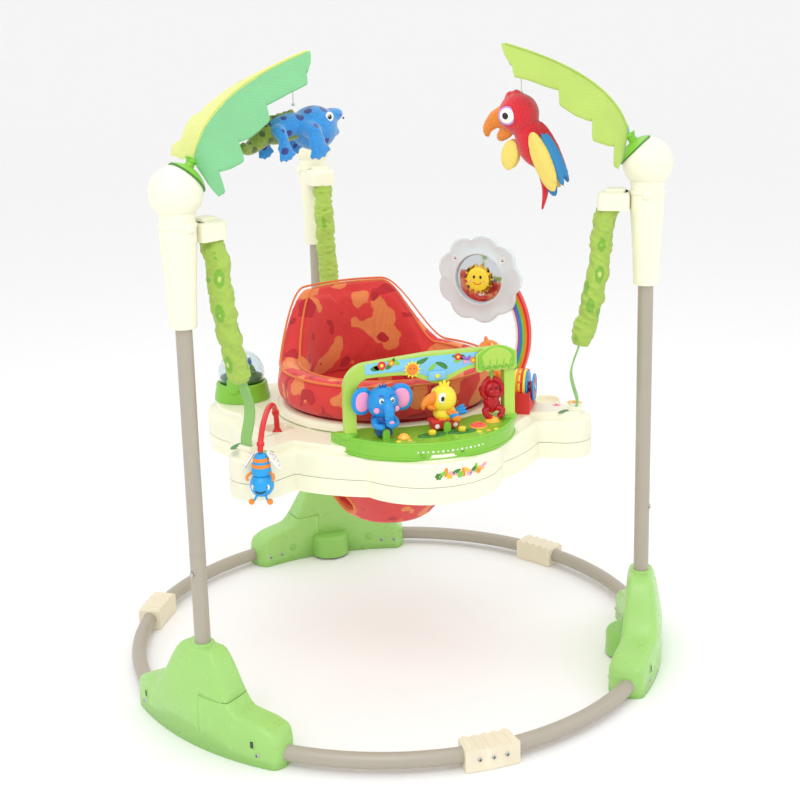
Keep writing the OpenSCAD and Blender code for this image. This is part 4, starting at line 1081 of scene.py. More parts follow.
    def screws(self) -> None:
        """Pan-head screws: a low dome with a cross cut, at each place of the frame's screws."""
        form = Form()
        dome = [(0.02, 1.0), (1.2, 1.0), (1.3, 1.9), (2.2, 1.75), (3.1, 1.1), (3.4, 0.2), (3.4, -0.3)]
        cross = filleted([(-2.2, -0.45), (-0.45, -0.45), (-0.45, -2.2), (0.45, -2.2), (0.45, -0.45),
                          (2.2, -0.45), (2.2, 0.45), (0.45, 0.45), (0.45, 2.2), (-0.45, 2.2), (-0.45, 0.45),
                          (-2.2, 0.45)], 0.1, closed=True)
        places = []
        half = math.degrees(37.0 / self.ring_r)
        for a in CONNECTORS:
            places += [post(a + k * half / 2, self.ring_r + 18.1, self.ring_z) for k in (-1, 0, 1)]
        far = math.degrees(math.asin(118 / self.foot_out))
        near, last = math.degrees(math.asin(96 / self.foot_in)), math.degrees(math.asin(118 / self.foot_in))
        for a in POSTS.values():
            places += [post(a + s * far, self.foot_out + 0.1, self.ring_z) for s in (-1, 1)]
            places += [post(a + s * q, self.foot_in - 0.1, self.ring_z).spin("z", 180)
                       for s in (-1, 1) for q in (near, last)]
        for place in places:
            flat = place.spin("y", 90)
            form.grid(lathe(dome, 18), flat, caps="se")
            form.slab(cross, 0.9, 1.92, flat, 0.05, paint=1, steps=1)
        make(form, "screw_heads", "frame", [STEEL, SHADOW], ("frame_screws",))

    def housing(self, key: str, angle: float) -> None:
        """Housing: a ball shell open at its mouth, the tapered neck below it and the spring's hood."""
        place = post(angle, self.post_r)
        form = Form()
        rim = math.degrees(math.asin(self.mouth_r / self.ball_r))
        v = np.linspace(rim + 2.5, 180, 40)
        outer = np.stack([self.ball_r * sind(v), self.ball_r * cosd(v)], 1)
        lip_r, lip_z = self.ball_r * sind(rim), self.ball_r * cosd(rim)
        lip = filleted([(lip_r - 1.6, lip_z - 5.0), (lip_r - 1.2, lip_z + 0.6), (lip_r + 1.2, lip_z - 0.2),
                        outer[0]], 1.0)
        ball = place.move(z=self.ball_z).spin("y", -self.mouth_tilt)
        form.grid(lathe(np.vstack([lip, outer[1:]]), 64), ball)
        inner = (self.ball_r - 2.4) * np.stack([sind(v[::-1]), cosd(v[::-1])], 1)
        form.grid(lathe(inner, 64), ball)
        low, neck = self.ball_z - self.housing_len, self.ball_z - self.ball_r - 6
        body = filleted([(11.3, low), (18, low), (20.4, low + 60), (24.5, neck - 16), (24.0, neck - 1),
                         (23.2, neck + 9), (24.8, neck + 16)], [0, 2.5, 20, 8, 3, 4, 0])
        form.grid(lathe(np.vstack([[(11.3, low + 20)], body]), 56), place)
        band = filleted([(23.6, neck - 3.5), (25.3, neck - 3.0), (25.3, neck + 2.5), (23.6, neck + 3)], 0.8)
        form.grid(lathe(band, 56), place)
        for s in (-1, 1):
            form.ball((7, 6, 7.5, 14, 20, 0.8), place.move(0, s * 23.0, neck - 2))
        hood = rounded(-20, 26, -20.5, 20.5, [11, 3, 3, 11], 6)
        top = place.move(x=self.spring_x - self.post_r)
        rings = [(0.0, neck - 25.0), (0.0, neck - 4.0), (1.0, neck - 1.2), (3.5, neck + 0.2),
                 (8.0, neck + 1.0)]
        wall = [(2.5, neck - 4.0), (2.5, neck - 25.0)]
        loops = [np.column_stack([inset_loop(hood, d), np.full(len(hood), z)]) for d, z in wall + rings]
        form.grid(np.stack(loops), top, caps="e")
        ledge = rounded(-9, 20, -12, 12, 5.0)
        form.slab(ledge, neck - 2, neck + 5.5, top, 1.5)
        make(form, f"housing_shell_{key}", "frame", [CREAM], (f"spring_housing_{key}",),
             sharp=42)

    def leg_collars(self) -> None:
        """Thin collars on the legs' joints and round the snap buttons."""
        form = Form()
        for angle in POSTS.values():
            place = post(angle, self.post_r)
            ring = filleted([(11.0, 267.0), (11.4, 267.2), (11.4, 268.2), (11.0, 268.4)], 0.1)
            form.grid(lathe(ring, 40), place)
            eye = filleted([(3.6, -0.5), (4.0, 0.35), (5.2, 0.2), (5.6, -0.8)], 0.3)
            form.grid(lathe(eye, 24), place.move(10.9, 0, self.button_z).spin("y", 90))
        make(form, "leg_joint_rings", "frame", [TAUPE])


# ---- Suspension ----


@dataclass
class Suspension:
    """Fabric sleeves that stretch with the bounce, and the straps below them."""

    spring_x: float = 338.0
    lean: float = 44.0
    length: float = 216.0
    top_z: float = 704.0
    strap_x: float = 288.0
    deck_z: float = 390.0

    def build(self) -> None:
        """Makes three sleeves and three straps."""
        for seed, (key, angle) in enumerate(POSTS.items()):
            self.sleeve(key, angle, seed)
        self.springs()
        self.straps()

    def springs(self) -> None:
        """The coil springs inside the sleeves: a copy of the CAD's, which stretches with the bounce."""
        obj = copied("bounce_springs", "coil_springs", STEEL)
        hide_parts("bounce_springs")
        low = self.top_z - self.length
        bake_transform(obj, "frame", "tray", start=(0.0, 0.0, self.top_z * MM), end=(0.0, 0.0, low * MM))
        LOG.info("coil_springs stretch between the frame and the tray")

    def sleeve(self, key: str, angle: float, seed: int) -> None:
        """A gathered tube of cloth: its radius swells between gathers, and small folds run along it."""
        t = np.linspace(0, 1, 230)[:, None]
        u = np.linspace(0, 360, 84, endpoint=False)[None, :]
        ends = ease(t / 0.04) * ease((1 - t) / 0.04)
        z = -self.length * t + 0 * u
        core = np.stack(np.broadcast_arrays(14.0 * cosd(u), 14.0 * sind(u), z), -1).reshape(-1, 3)
        squeezed = core * np.array([0.55, 0.55, 1.0])
        bulge = wrinkles(squeezed, 31 + seed, 26.0).reshape(z.shape) * 3.0
        ruche = (1 - np.abs(wrinkles(squeezed, 41 + seed, 12.0, 8).reshape(z.shape))) * 3.2
        crumple = wrinkles(core, 51 + seed, 7.0).reshape(z.shape) * 0.9
        r = np.maximum(13.4 + (bulge + ruche + crumple) * ends - 1.5 * (1 - ends), 10.6)
        sway = (-3.5 * np.sin(np.pi * np.clip(t / 0.35, 0, 1)) + 3.0
                * np.sin(np.pi * np.clip((t - 0.35) / 0.5, 0, 1))) * ends
        points = np.stack(np.broadcast_arrays(r * cosd(u) + sway, r * sind(u), z), -1)
        tilt = math.degrees(math.atan(self.lean / self.length))
        place = post(angle, self.spring_x, self.top_z - 4).spin("y", tilt)
        form = Form().grid(points, place, caps="se")
        obj = make_free(form, f"sleeve_{key}", [SLEEVE_CLOTH])
        if key == "back":
            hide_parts("spring_sleeves")
        foot = place(np.array([[0, 0, -self.length]]))[0] * MM
        head = place(np.zeros((1, 3)))[0] * MM
        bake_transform(obj, "frame", "tray", start=tuple(head), end=(head[0], head[1], foot[2]))

    def straps(self) -> None:
        """Webbing from each sleeve to its lobe: two layers, a fold at the top and a stitched box."""
        form = Form()
        top_x = self.spring_x - self.lean * (self.length + 4) / self.length
        top_z = self.top_z - 4 - self.length + 10
        for angle in POSTS.values():
            line = spline([(top_x + 0.3, 0, top_z + 8), (top_x, 0, top_z - 6), (top_x - 12, 0, 445),
                           (self.strap_x + 2.5, 0, 404), (self.strap_x, 0, self.deck_z + 2)], 26)
            s = np.linspace(0, 1, 26)[:, None]
            width = 7.0 + 3.2 * ease(s * 2.5)
            v = np.array([-1, -0.96, -0.6, 0, 0.6, 0.96, 1.0])[None, :]
            hem = np.array([0.5, 1.0, 0.85, 0.8, 0.85, 1.0, 0.5])[None, :]
            for side in (1, -1):
                points = np.stack(np.broadcast_arrays(line[:, 0, None] + side * 1.35 * hem, width * v,
                                                      line[:, 2, None]), -1)
                form.grid(points, post(angle), wrap="")
            rim = [np.stack([line[:, 0] + 1.35 * 0.5 * q, e * width[:, 0], line[:, 2]], 1) for e in (1, -1)
                   for q in (1, -1)]
            for a, b in ((0, 1), (2, 3)):
                form.grid(np.stack([rim[a], rim[b]], 1), post(angle), wrap="")
            box = rounded(-8, 8, -12.5, 12.5, 3.0)
            form.slab(box, self.deck_z + 0.06, self.deck_z + 5.0, post(angle, self.strap_x), 1.6, paint=1)
            lip = rounded(-10, 10, -14.5, 14.5, 4.0)
            form.slab(lip, self.deck_z + 0.05, self.deck_z + 1.6, post(angle, self.strap_x), 0.7, paint=1)
        make(form, "hanger_strap_webs", "tray", [WEBBING, CREAM], ("hanger_straps",))


# ---- Tray and seat ----


@dataclass
class Tray:
    """The two tray shells and what is printed on them."""

    tray_r: float = 240.0
    low_z: float = 323.0
    seam_z: float = 347.0
    rim_z: float = 380.0
    deck_z: float = 390.0
    station_c: float = 176.0
    station_r: float = 108.0
    lobe_reach: float = 312.0
    lobe_half: float = 39.0
    border: float = 14.0
    hole_r: float = 152.0

    def outline(self, u: Array, inset: float | Array) -> Array:
        """Distance of the tray's edge along directions u: a soft maximum of its circles and bars."""
        reach = [np.full_like(u, self.tray_r - inset)]
        for a in CONNECTORS:
            reach.append(self.ray_circle(u - a, self.station_c, self.station_r - inset))
        for a in POSTS.values():
            reach.append(self.ray_circle(u - a, self.lobe_reach - self.lobe_half, self.lobe_half - inset))
            ahead = cosd(u - a)
            limit = np.minimum((self.lobe_reach - self.lobe_half) / np.maximum(ahead, 1e-3),
                               (self.lobe_half - inset) / np.maximum(np.abs(sind(u - a)), 1e-3))
            reach.append(np.where(ahead > 0.2, limit, 1.0))
        stack = np.stack(reach) / 300.0
        return 300.0 * (stack**70.0).sum(0) ** (1 / 70.0)

    @staticmethod
    def ray_circle(a: Array, centre: float, r: float | Array) -> Array:
        """How far a ray at angle a from the circle's own direction runs before it leaves the circle."""
        along = centre * cosd(a)
        room = r * r - centre * centre + along * along
        return np.where((room > 0) & (along > 0), along + np.sqrt(np.maximum(room, 0)), 1.0)

    def build(self) -> None:
        """Makes the tray's pieces."""
        self.top()
        softened("tray_bottom", "tray_lower_shell", "tray", CREAM, 2.6)
        dress(["battery_door"], CREAM)
        dress(["seat_glides"], WHITE)
        dress(["sound_unit"], BONE)
        self.dish()
        self.stickers()

    def sink(self, x: Array, y: Array) -> Array:
        """Depth of the deck's recesses at a point: the stem's cup, with a raised lip round it."""
        d = np.hypot(x + 190, y + 69)
        return 11.0 * ease((20.5 - d) / 2.5) - 1.6 * ease((25 - d) / 2.5) * ease((d - 20) / 1.0)

    def top(self) -> None:
        """Upper shell: rows at one inset and height each, from the seat's hole out and back inside."""
        u = np.linspace(0, 360, 540, endpoint=False)
        hole = np.full_like(u, self.hole_r)
        edge = self.outline(u, self.border + 3.0)
        rows: list[tuple[Array, Array]] = [(hole, self.seam_z), (hole, self.deck_z - 3),
                                           (hole + 0.8, self.deck_z - 0.9), (hole + 3, self.deck_z)]
        for s in np.linspace(0.02, 1.0, 30):
            r = (hole + 3) * (1 - s) + edge * s
            rows.append((r, self.deck_z - self.sink(r * cosd(u), r * sind(u))))
        for inset, z in ((15.4, self.deck_z - 0.5), (14.2, self.deck_z - 1.9), (13.7, self.deck_z - 4),
                         (13.0, self.rim_z + 2.2), (11.8, self.rim_z + 0.7), (10.0, self.rim_z),
                         (5.2, self.rim_z), (2.8, self.rim_z - 0.5), (1.0, self.rim_z - 2.0),
                         (0.2, self.rim_z - 4.4), (0.0, self.rim_z - 8), (0.0, self.seam_z + 2),
                         (0.5, self.seam_z + 0.5), (3.0, self.seam_z + 0.5), (3.0, self.rim_z - 8),
                         (6.0, self.rim_z - 4), (17.0, self.rim_z - 3), (18.0, self.deck_z - 4)):
            rows.append((self.outline(u, inset), np.full_like(u, z)))
        for s in (1.0, 0.75, 0.5, 0.25, 0.0):
            r = (hole + 4) * (1 - s) + self.outline(u, 20.0) * s
            rows.append((r, self.deck_z - 3.6 - self.sink(r * cosd(u), r * sind(u)) * 0.98))
        rows.append((hole + 3, self.seam_z))
        points = np.stack([np.stack(np.broadcast_arrays(r * cosd(u), r * sind(u), z), -1) for r, z in rows])
        make(Form().grid(points, wrap="uv"), "tray_upper_shell", "tray", [CREAM],
             ("tray_top",), sharp=46)

    def dish(self) -> None:
        """A small oval dish on the edge beside the right lobe, its bowl a quarter ellipse in section."""
        place = post(341, 244)
        form = Form()
        section = filleted([(0.1, 377.5), (12, 377.6), (17.5, 380.5), (19.5, 389.3), (22.8, 390.0),
                            (23.2, 381), (21.5, 374.3), (0.1, 374)], [0, 5, 4, 1.5, 1.5, 3, 2, 0], 5)
        form.grid(lathe(section, 48), place.stretch(1.0, 1.1, 1.0))
        make(form, "snack_dish", "tray", [CREAM])

    def stickers(self) -> None:
        """Printed shapes on the deck: leaves, flowers and a small sun, all of a general kind."""
        z = self.deck_z + 0.02
        leaf = lambda n: np.stack([n * np.cos(t), 0.38 * n * np.sin(t) * (1 + 0.25 * np.cos(t))], 1)
        t = np.linspace(0, 2 * np.pi, 40, endpoint=False)
        petal = lambda n, k, deep: np.stack([n * (1 - deep * np.abs(np.sin(k * t / 2))) * np.cos(t),
                                             n * (1 - deep * np.abs(np.sin(k * t / 2))) * np.sin(t)], 1)
        form = Form()
        spots = ((206, 292, leaf(15), 30, 0), (216, 283, leaf(12), 100, 1),
                 (206, 276, petal(8, 5, 0.3), 0, 2), (336, 286, petal(13, 8, 0.18), 0, 3),
                 (326, 272, leaf(12), 60, 0), (333, 259, petal(8, 5, 0.3), 20, 4),
                 (262, 262, leaf(10), 10, 1), (268, 264, petal(7, 5, 0.3), 0, 3),
                 (275, 263, leaf(11), 150, 0), (145, 250, petal(7, 5, 0.3), 0, 4),
                 (182, 218, leaf(12), 60, 1), (88, 264, leaf(14), 20, 0))
        for angle, r, outline, turn, paint in spots:
            place = post(angle, r).spin("z", turn)
            form.slab(outline, z, z + 0.3, place, 0.1, 0.0, paint=paint, steps=1)
            if paint > 1:
                form.slab(circle(3.0, 20), z + 0.2, z + 0.5, place, 0.1, 0.0, paint=5, steps=1)
        for k in range(15):
            front = HERE.move(0, -self.station_c, 363.0 + 2.5 * (k % 3)).spin("z", 270 + 2.7 * (k - 4))
            place = front.move(self.station_r + 0.1).spin("z", 90).spin("x", 90)
            shape = leaf(6.5) if k % 3 else petal(5.5, 6, 0.3)
            form.slab(shape, 0.0, 0.5, place.spin("z", 40 * k), 0.1, 0.0, paint=(k % 5), steps=1)
        make(form, "tray_stickers", "tray", [DEEP_GREEN, LEAF_GREEN, ORANGE, AMBER, PINK, SCARLET])


@dataclass
class Seat:
    """The turning ring, the padded ring and back, and the hanging seat."""

    deck_z: float = 390.0
    low_z: float = 391.6
    ring_top: float = 401.6
    rim_out: float = 172.0
    tube_r: float = 151.5
    pad_in: float = 123.0
    pad_out: float = 168.0
    pad_top: float = 462.0
    back_top: float = 560.0
    back_angle: float = 100.0
    sling_z: float = 215.0
    leg_r: float = 52.0
    leg_z: float = 281.0

    def build(self) -> None:
        """Makes the seat's pieces."""
        self.ring()
        dress(["seat_lock_ring"], CREAM)
        self.pad()
        self.sling()

    def ring(self) -> None:
        """Seat ring: a collar with a groove round its top and a rounded rim."""
        section = filleted([(148.5, 321), (151.5, 321), (151.5, 391.6), (171.6, 391.6), (172.0, 395.5),
                            (169.0, 396.6), (167.6, 395.4), (166.2, 396.9), (163.5, 401.2), (155, 402.2),
                            (148.5, 401.5)], [0, 0.6, 0.5, 1.4, 1.6, 0.7, 0.7, 0.7, 2.5, 3, 1.5], 4, True)
        make(Form().grid(lathe(section, 180), wrap="uv"), "seat_collar", "seat", [CREAM],
             ("seat_ring",))

    def height(self, u: Array) -> Array:
        """Top of the padded ring in direction u: low at the front, rising smoothly to the back."""
        away = np.abs((u - self.back_angle + 180) % 360 - 180)
        return self.pad_top + (self.back_top - self.pad_top) * ease((66 - away) / 40)

    def pad(self) -> None:
        """Padded ring and back in one: at each angle a boxy oval section, thinner where it is tall."""
        u = np.linspace(0, 360, 260, endpoint=False)[None, :]
        v = np.linspace(0, 360, 64, endpoint=False)[:, None]
        tall = (self.height(u) - self.pad_top) / (self.back_top - self.pad_top)
        low = self.ring_top + 1.0
        half_z = (self.height(u) - low) / 2 - 2.5
        z = low + 2.5 + half_z + half_z * bend(sind(v), 0.72)
        up = (z - low) / (self.height(u) - low)
        half_x = (self.pad_out - self.pad_in) / 2 - 2.5 - 5.0 * tall * up
        middle = (self.pad_out + self.pad_in) / 2 + 1.0 * tall * up
        r = middle + half_x * bend(cosd(v), 0.72)
        points = np.stack(np.broadcast_arrays(r * cosd(u), r * sind(u), z), -1)
        obj = make_free(Form().grid(points, wrap="uv"), "seat_padded_ring", [SEAT_CLOTH])
        inflate(obj, 5.5, 5.0)
        co = positions(obj) / MM
        angle = np.degrees(np.arctan2(co[:, 1], co[:, 0]))
        radial = np.column_stack([cosd(angle), sind(angle), np.zeros(len(co))])
        pucker = wrinkles(co, 5, 26.0) * 0.9 + wrinkles(co, 9, 11.0) * 0.35
        crease = np.zeros(len(co))
        for seam in (self.back_angle - 62, self.back_angle + 62, 260.0):
            arc_len = np.radians(np.abs((angle - seam + 180) % 360 - 180)) * 146
            crease += 3.2 * np.exp(-((arc_len / 5.0) ** 2))
        outward = np.sign(np.hypot(co[:, 0], co[:, 1]) - 146)[:, None] * radial
        co = co + (pucker - crease)[:, None] * outward
        r = np.hypot(co[:, 0], co[:, 1])
        co[:, :2] *= (np.clip(r, 0, 172.5) / r)[:, None]
        set_positions(obj, co * MM)
        refine(obj)
        settle(obj, "seat", ("seat_fabric",))
        form = Form()
        ring = np.linspace(0, 360, 240, endpoint=False)
        top = self.height(ring)
        tall = (top - self.pad_top) / (self.back_top - self.pad_top)
        for r0, drop in ((self.pad_in + 8.5, 5.5), (self.pad_out - 7.0, 6.0)):
            r = r0 + (3.5 if r0 < 146 else -4.5) * tall
            path = np.stack([r * cosd(ring), r * sind(ring), top - drop + 1.6], 1)
            a = np.stack([cosd(ring), sind(ring), 0 * ring], 1)
            form.hoop(path, 1.7, a[:, None], np.array([0, 0, 1.0]))
        make(form, "seat_pad_piping", "seat", [PIPING])

    def wall_r(self, z: Array) -> Array:
        """Radius of the hanging seat at height z."""
        return np.interp(z, [self.sling_z, self.sling_z + 6, self.deck_z - 80, 420.0],
                         [56.0, 66.0, 143.5, 143.5])

    def sling(self) -> None:
        """Hanging seat: a cloth bucket with two leg holes, each bound by a welt along the hole's edge."""
        z = np.concatenate([np.linspace(412, 311, 22), np.linspace(307, 222, 30), [217.5, 215.4]])
        r = self.wall_r(z)
        r[-1] = 50.0
        z = np.concatenate([z, np.full(6, 215.0)])
        r = np.concatenate([r, np.linspace(42, 0.3, 6)])
        points = lathe(np.column_stack([r, z]), 160)
        sag = wrinkles(points.reshape(-1, 3), 3, 60.0).reshape(points.shape[:2]) * 1.6
        soft = ease((400 - points[..., 2]) / 60)
        scale = 1 - (sag * soft)[..., None] / 140
        points[..., :2] = points[..., :2] * scale
        turn = HERE.spin("z", self.back_angle)
        obj = make_free(Form().grid(points, turn), "seat_sling", [SEAT_CLOTH])
        thicken(obj, 2.6, 0.0)
        form = Form()
        for side in (-1, 1):
            cut = Form().grid(lathe([(0.1, 20), (self.leg_r, 20), (self.leg_r, 190), (0.1, 190)], 72),
                              turn.move(0, 0, self.leg_z).spin("x", -90 * side), wrap="v")
            tool = make_free(cut, f"leg_cut_{side}", [SEAT_CLOTH])
            hole = obj.modifiers.new("Hole", "BOOLEAN")
            hole.operation, hole.solver, hole.object = "DIFFERENCE", "EXACT", tool
            bpy.context.view_layer.objects.active = obj
            for name in [m.name for m in obj.modifiers]:
                bpy.ops.object.modifier_apply(modifier=name)
            bpy.data.objects.remove(tool)
            a = np.linspace(0, 360, 120, endpoint=False)
            across, height = (self.leg_r + 0.5) * cosd(a), self.leg_z + (self.leg_r + 0.5) * sind(a)
            rim = self.wall_r(height)
            along = np.sqrt(np.maximum(rim**2 - across**2, 100.0))
            path = np.stack([across, side * along, height], 1)
            step = np.roll(path, -1, 0) - np.roll(path, 1, 0)
            step /= np.linalg.norm(step, axis=1, keepdims=True)
            way = np.cross(step, [0, 1.0, 0.2])
            way /= np.linalg.norm(way, axis=1, keepdims=True)
            form.hoop(path, 3.4, way[:, None], np.cross(way, step)[:, None], turn)
        smooth(obj.data)
        settle(obj, "seat")
        make(form, "leg_hole_welts", "seat", [PIPING])


# ---- Leaves and hanging toys ----


def eye(form: Form, place: Place, r: float, white: int, black: int) -> None:
    """Adds an eye that looks along -Y: a white, a pupil and a glint."""
    form.ball((r, r * 0.5, r * 1.15, 14, 20), place, paint=white)
    form.ball((r * 0.52, r * 0.3, r * 0.6, 12, 16), place.move(0, -r * 0.38, 0), paint=black)
    form.ball((r * 0.16, r * 0.12, r * 0.16, 8, 10), place.move(-r * 0.2, -r * 0.64, r * 0.25), paint=white)


def stuffed(form: Form, name: str, body: str, finish: Finish, voxel: float, cap: float,
            replaces: Sequence[str] = ()) -> bpy.types.Object:
    """A stuffed piece: its lumps are merged, swollen as cloth under pressure, and puckered.

    Args:
        form: overlapping closed lumps.
        name: the piece's name.
        body: the body it rides on.
        finish: its finish.
        voxel: size of the remesh.
        cap: furthest that a point may swell.
        replaces: CAD nodes it stands for.
    Returns:
        The new object.
    """
    obj = make_free(form, name, [finish])
    inflate(obj, voxel, cap)
    co = positions(obj) / MM
    normal = np.empty(len(co) * 3, np.float32)
    obj.data.vertices.foreach_get("normal", normal)
    co = co + normal.reshape(-1, 3) * (wrinkles(co, 21, 9.0) * 0.25 + wrinkles(co, 4, 22.0) * 0.45)[:, None]
    set_positions(obj, co * MM)
    soft = obj.modifiers.new("Soft", "SMOOTH")
    soft.factor, soft.iterations = 0.5, 4
    refine(obj)
    return settle(obj, body, replaces)


@dataclass
class Canopy:
    """Caps on the posts, two cloth leaves, and the lizard and parrot that hang from them."""

    post_r: float = 388.0
    ball_z: float = 756.0
    cap_r: float = 33.0
    mouth_tilt: float = 45.0
    stem_tilt: float = 34.0
    stem_len: float = 46.0
    reach: float = 181.0
    half_width: float = 76.0
    slope: float = 50.0
    hang_u: float = 0.91
    hang_len: float = 58.0
    turns: tuple[tuple[str, float], ...] = (("left", -12.0), ("right", -5.0), ("back", 0.0))

    def build(self) -> None:
        """Makes the caps, the leaves, the cords and both toys."""
        for key, turn in self.turns:
            place = post(POSTS[key], self.post_r).spin("z", turn).move(-self.post_r)
            self.cap(key, place)
            if key == "back":
                continue
            self.leaf(key, place, (PALE_LEAF, MINT_LEAF) if key == "left" else (LIME_LEAF, TEAL_LEAF),
                      1 if key == "left" else -1)
            self.cord("lizard" if key == "left" else "parrot", place)
        self.lizard(self.toy_place("left"))
        self.parrot(self.toy_place("right"))

    def rib(self, u: Array) -> Array:
        """Points (x, z) of a leaf's midrib: a quadratic curve from the stem, over a knee, to the tip."""
        u = np.asarray(u, float)[..., None]
        foot = np.array([self.post_r - self.stem_len * float(sind(self.stem_tilt)) - 3.0,
                         self.ball_z + self.stem_len * float(cosd(self.stem_tilt)) + 4.4])
        knee = foot + np.array([-0.1, 0.44]) * self.reach
        tip = foot + np.array([-1.0, 0.7]) * self.reach
        return (1 - u) ** 2 * foot + 2 * u * (1 - u) * knee + u * u * tip

    def hang(self) -> Array:
        """Where a cord leaves the leaf's underside, as (x, z)."""
        return self.rib(self.hang_u) - np.array([0.0, 3.7])

    def toy_place(self, key: str) -> Place:
        """Frame of a hanging toy, at the lower end of its cord."""
        x, z = self.hang()
        turn = dict(self.turns)[key]
        return post(POSTS[key], self.post_r).spin("z", turn).move(float(x) - self.post_r, 0.0,
                                                                  float(z) - self.hang_len - 0.1)

    def cap(self, key: str, place: Place) -> None:
        """A dome in the housing's mouth with a groove round it, and the leaf's stem on its collar."""
        head = place.move(self.post_r, 0, self.ball_z)
        t = np.linspace(24, 86, 16)
        dome = np.stack([self.cap_r * sind(t), self.cap_r * cosd(t)], 1)
        dome[6] *= 0.975
        dome[7] *= 0.975
        profile = np.vstack([[(0.1, self.cap_r * 0.9), (self.cap_r * 0.36, self.cap_r * 0.9)], dome,
                             [(self.cap_r * 0.8, 0.0), (0.1, 0.0)]])
        form = Form().grid(lathe(profile, 64), head.spin("y", -self.mouth_tilt))
        seam = filleted([(self.cap_r * 0.72, self.cap_r * 0.62), (self.cap_r * 0.75, self.cap_r * 0.66),
                         (self.cap_r * 0.79, self.cap_r * 0.62), (self.cap_r * 0.76, self.cap_r * 0.57)],
                        0.3, 2, True)
        form.grid(lathe(seam, 64), head.spin("y", -self.mouth_tilt), wrap="uv", paint=1)
        arc = np.linspace(10, 47, 18)
        shell = [(r * sind(a), r * cosd(a)) for r, sweep in ((36.2, arc), (38.4, arc[::-1])) for a in sweep]
        form.grid(lathe(np.array(shell), 72), head.spin("y", -self.mouth_tilt), wrap="uv")
        line = np.array([(r * sind(a), r * cosd(a)) for r, a in ((36.1, 47.6), (38.0, 47.4), (38.0, 49.4),
                                                                 (36.1, 49.6))])
        form.grid(lathe(line, 72), head.spin("y", -self.mouth_tilt), wrap="uv", paint=1)
        if key != "back":
            stem = head.spin("y", -self.stem_tilt)
            low, high = self.cap_r - 5.0, self.stem_len
            body = filleted([(0.1, low), (8.6, low), (8.6, low + 5.5), (6.5, low + 7.5), (6.2, high - 3),
                             (7.4, high - 2), (7.4, high + 1.5), (0.1, high + 1.5)],
                            [0, 0.4, 1.2, 1.2, 0.8, 0.5, 0.8, 0], 4)
            form.grid(lathe(body, 40), stem)
            clip = rounded(-13, 9, -6.5, 6.5, 3.0)
            form.slab(clip, high, high + 3.2, stem, 1.2)
        make(form, f"cap_dome_{key}", "leaf_" + key if key != "back" else "frame", [LEAF_GREEN, DEEP_GREEN],
             (f"top_cap_{key}",))

    def leaf(self, key: str, place: Place, finishes: Sequence[Finish], near: int) -> None:
        """A cloth leaf in two halves: saw-toothed lobes, a crease at the rib, a rolled hem.

        Args:
            key: which post.
            place: the leaf's frame.
            finishes: cloths of the halves with negative and positive y.
            near: side that falls from the rib; the other one lies almost level.
        """
        u = np.linspace(0.0, 1.0, 150)
        k = np.linspace(-1, 1, 65)
        rib = self.rib(u)
        phase = (4.0 * u + 0.12) % 1.0
        lobes = 0.74 + 0.38 * phase**0.8 - 0.38 * ease((phase - 0.93) / 0.07)
        reach = np.clip(u / 0.13, 0.0, 1.0) ** 0.55 * (1 - 0.48 * ease((u - 0.4) / 0.6))
        side = self.half_width * reach * lobes * (1 - 0.35 * ease((u - 0.975) / 0.025)) + 1.5
        s = side[:, None] * k[None, :]
        away = np.abs(k)[None, :]
        puff = 1.1 + 1.2 * np.sqrt(np.clip(1 - away**8, 0,
                                           1)) * (1 - np.exp(-(away * 7) ** 2)) + 0.5 * (away > 0.95)
        falls = np.sign(k)[None, :] == near
        slope = np.where(falls, self.slope, 12.0)
        bow = np.where(falls, 0.10, 0.30) * away
        grain = np.stack(np.broadcast_arrays(rib[:, 0, None], s, rib[:, 1, None]), -1).reshape(-1, 3)
        ripple = (wrinkles(grain, 12, 46.0) * 2.4 + wrinkles(grain, 19, 17.0) * 0.6).reshape(s.shape) * away
        x = rib[:, 0, None] + 9.0 * away**1.5 * ease(u)[:, None]
        y = s * cosd(slope)
        z = rib[:, 1, None] - np.abs(s) * sind(slope) * (1 + bow) + ripple
        out = np.stack([np.full_like(s, -0.25), np.sign(s) * sind(slope) * 0.8, 0.4 + cosd(slope) + 0 * s],
                       -1)
        out /= np.linalg.norm(out, axis=-1, keepdims=True)
        middle = np.stack(np.broadcast_arrays(x, y, z), -1)
        loop = np.concatenate([middle + out * (puff * 0.9)[..., None],
                               (middle - out * (puff * 0.9)[..., None])[:, ::-1]], 1)
        form = Form().grid(loop, place, caps="se")
        half = (np.concatenate([k, k[::-1]]) > 0).astype(int)
        form.paint[: (len(u) - 1) * loop.shape[1]] = np.broadcast_to(half,
                                                                     (len(u) - 1,
                                                                      len(half))).ravel().tolist()
        obj = make_free(form, f"leaf_cloth_{key}", finishes, 55)
        settle(obj, "leaf_" + key, (f"leaf_{key}",))
        seam = np.stack([rib[3:-2, 0] + 0.3, 0 * u[3:-2], rib[3:-2, 1] + 1.6], 1)
        make(Form().grid(tube(seam, 1.5, 10, up=(0, 1, 0)), place, caps="se"), f"leaf_rib_{key}",
             "leaf_" + key, [finishes[0]])

    def cord(self, toy: str, place: Place) -> None:
        """The toy's cord, a thin straight tube from the leaf's underside down to the toy."""
        x, z = self.hang()
        line = np.stack([np.full(60, x), np.zeros(60), z - self.hang_len * np.linspace(0, 1, 60)], 1)
        obj = make_free(Form().grid(tube(line, 0.7, 10, up=(0, 1, 0)), place, caps="se"),
                        f"{toy}_hanging_cord", [CORD_CLOTH])
        world = place(line) * MM
        tuple(float(c) for c in world[0])
        [tuple(float(c) for c in p) for p in world]
        settle(obj, toy, (f"{toy}_cord",))
        knot = Form().ball((2.6, 2.6, 2.2, 12, 16), place.move(float(x), 0, float(z) - self.hang_len + 1.5))
        make(knot, f"{toy}_cord_knot", toy, [CORD_CLOTH])

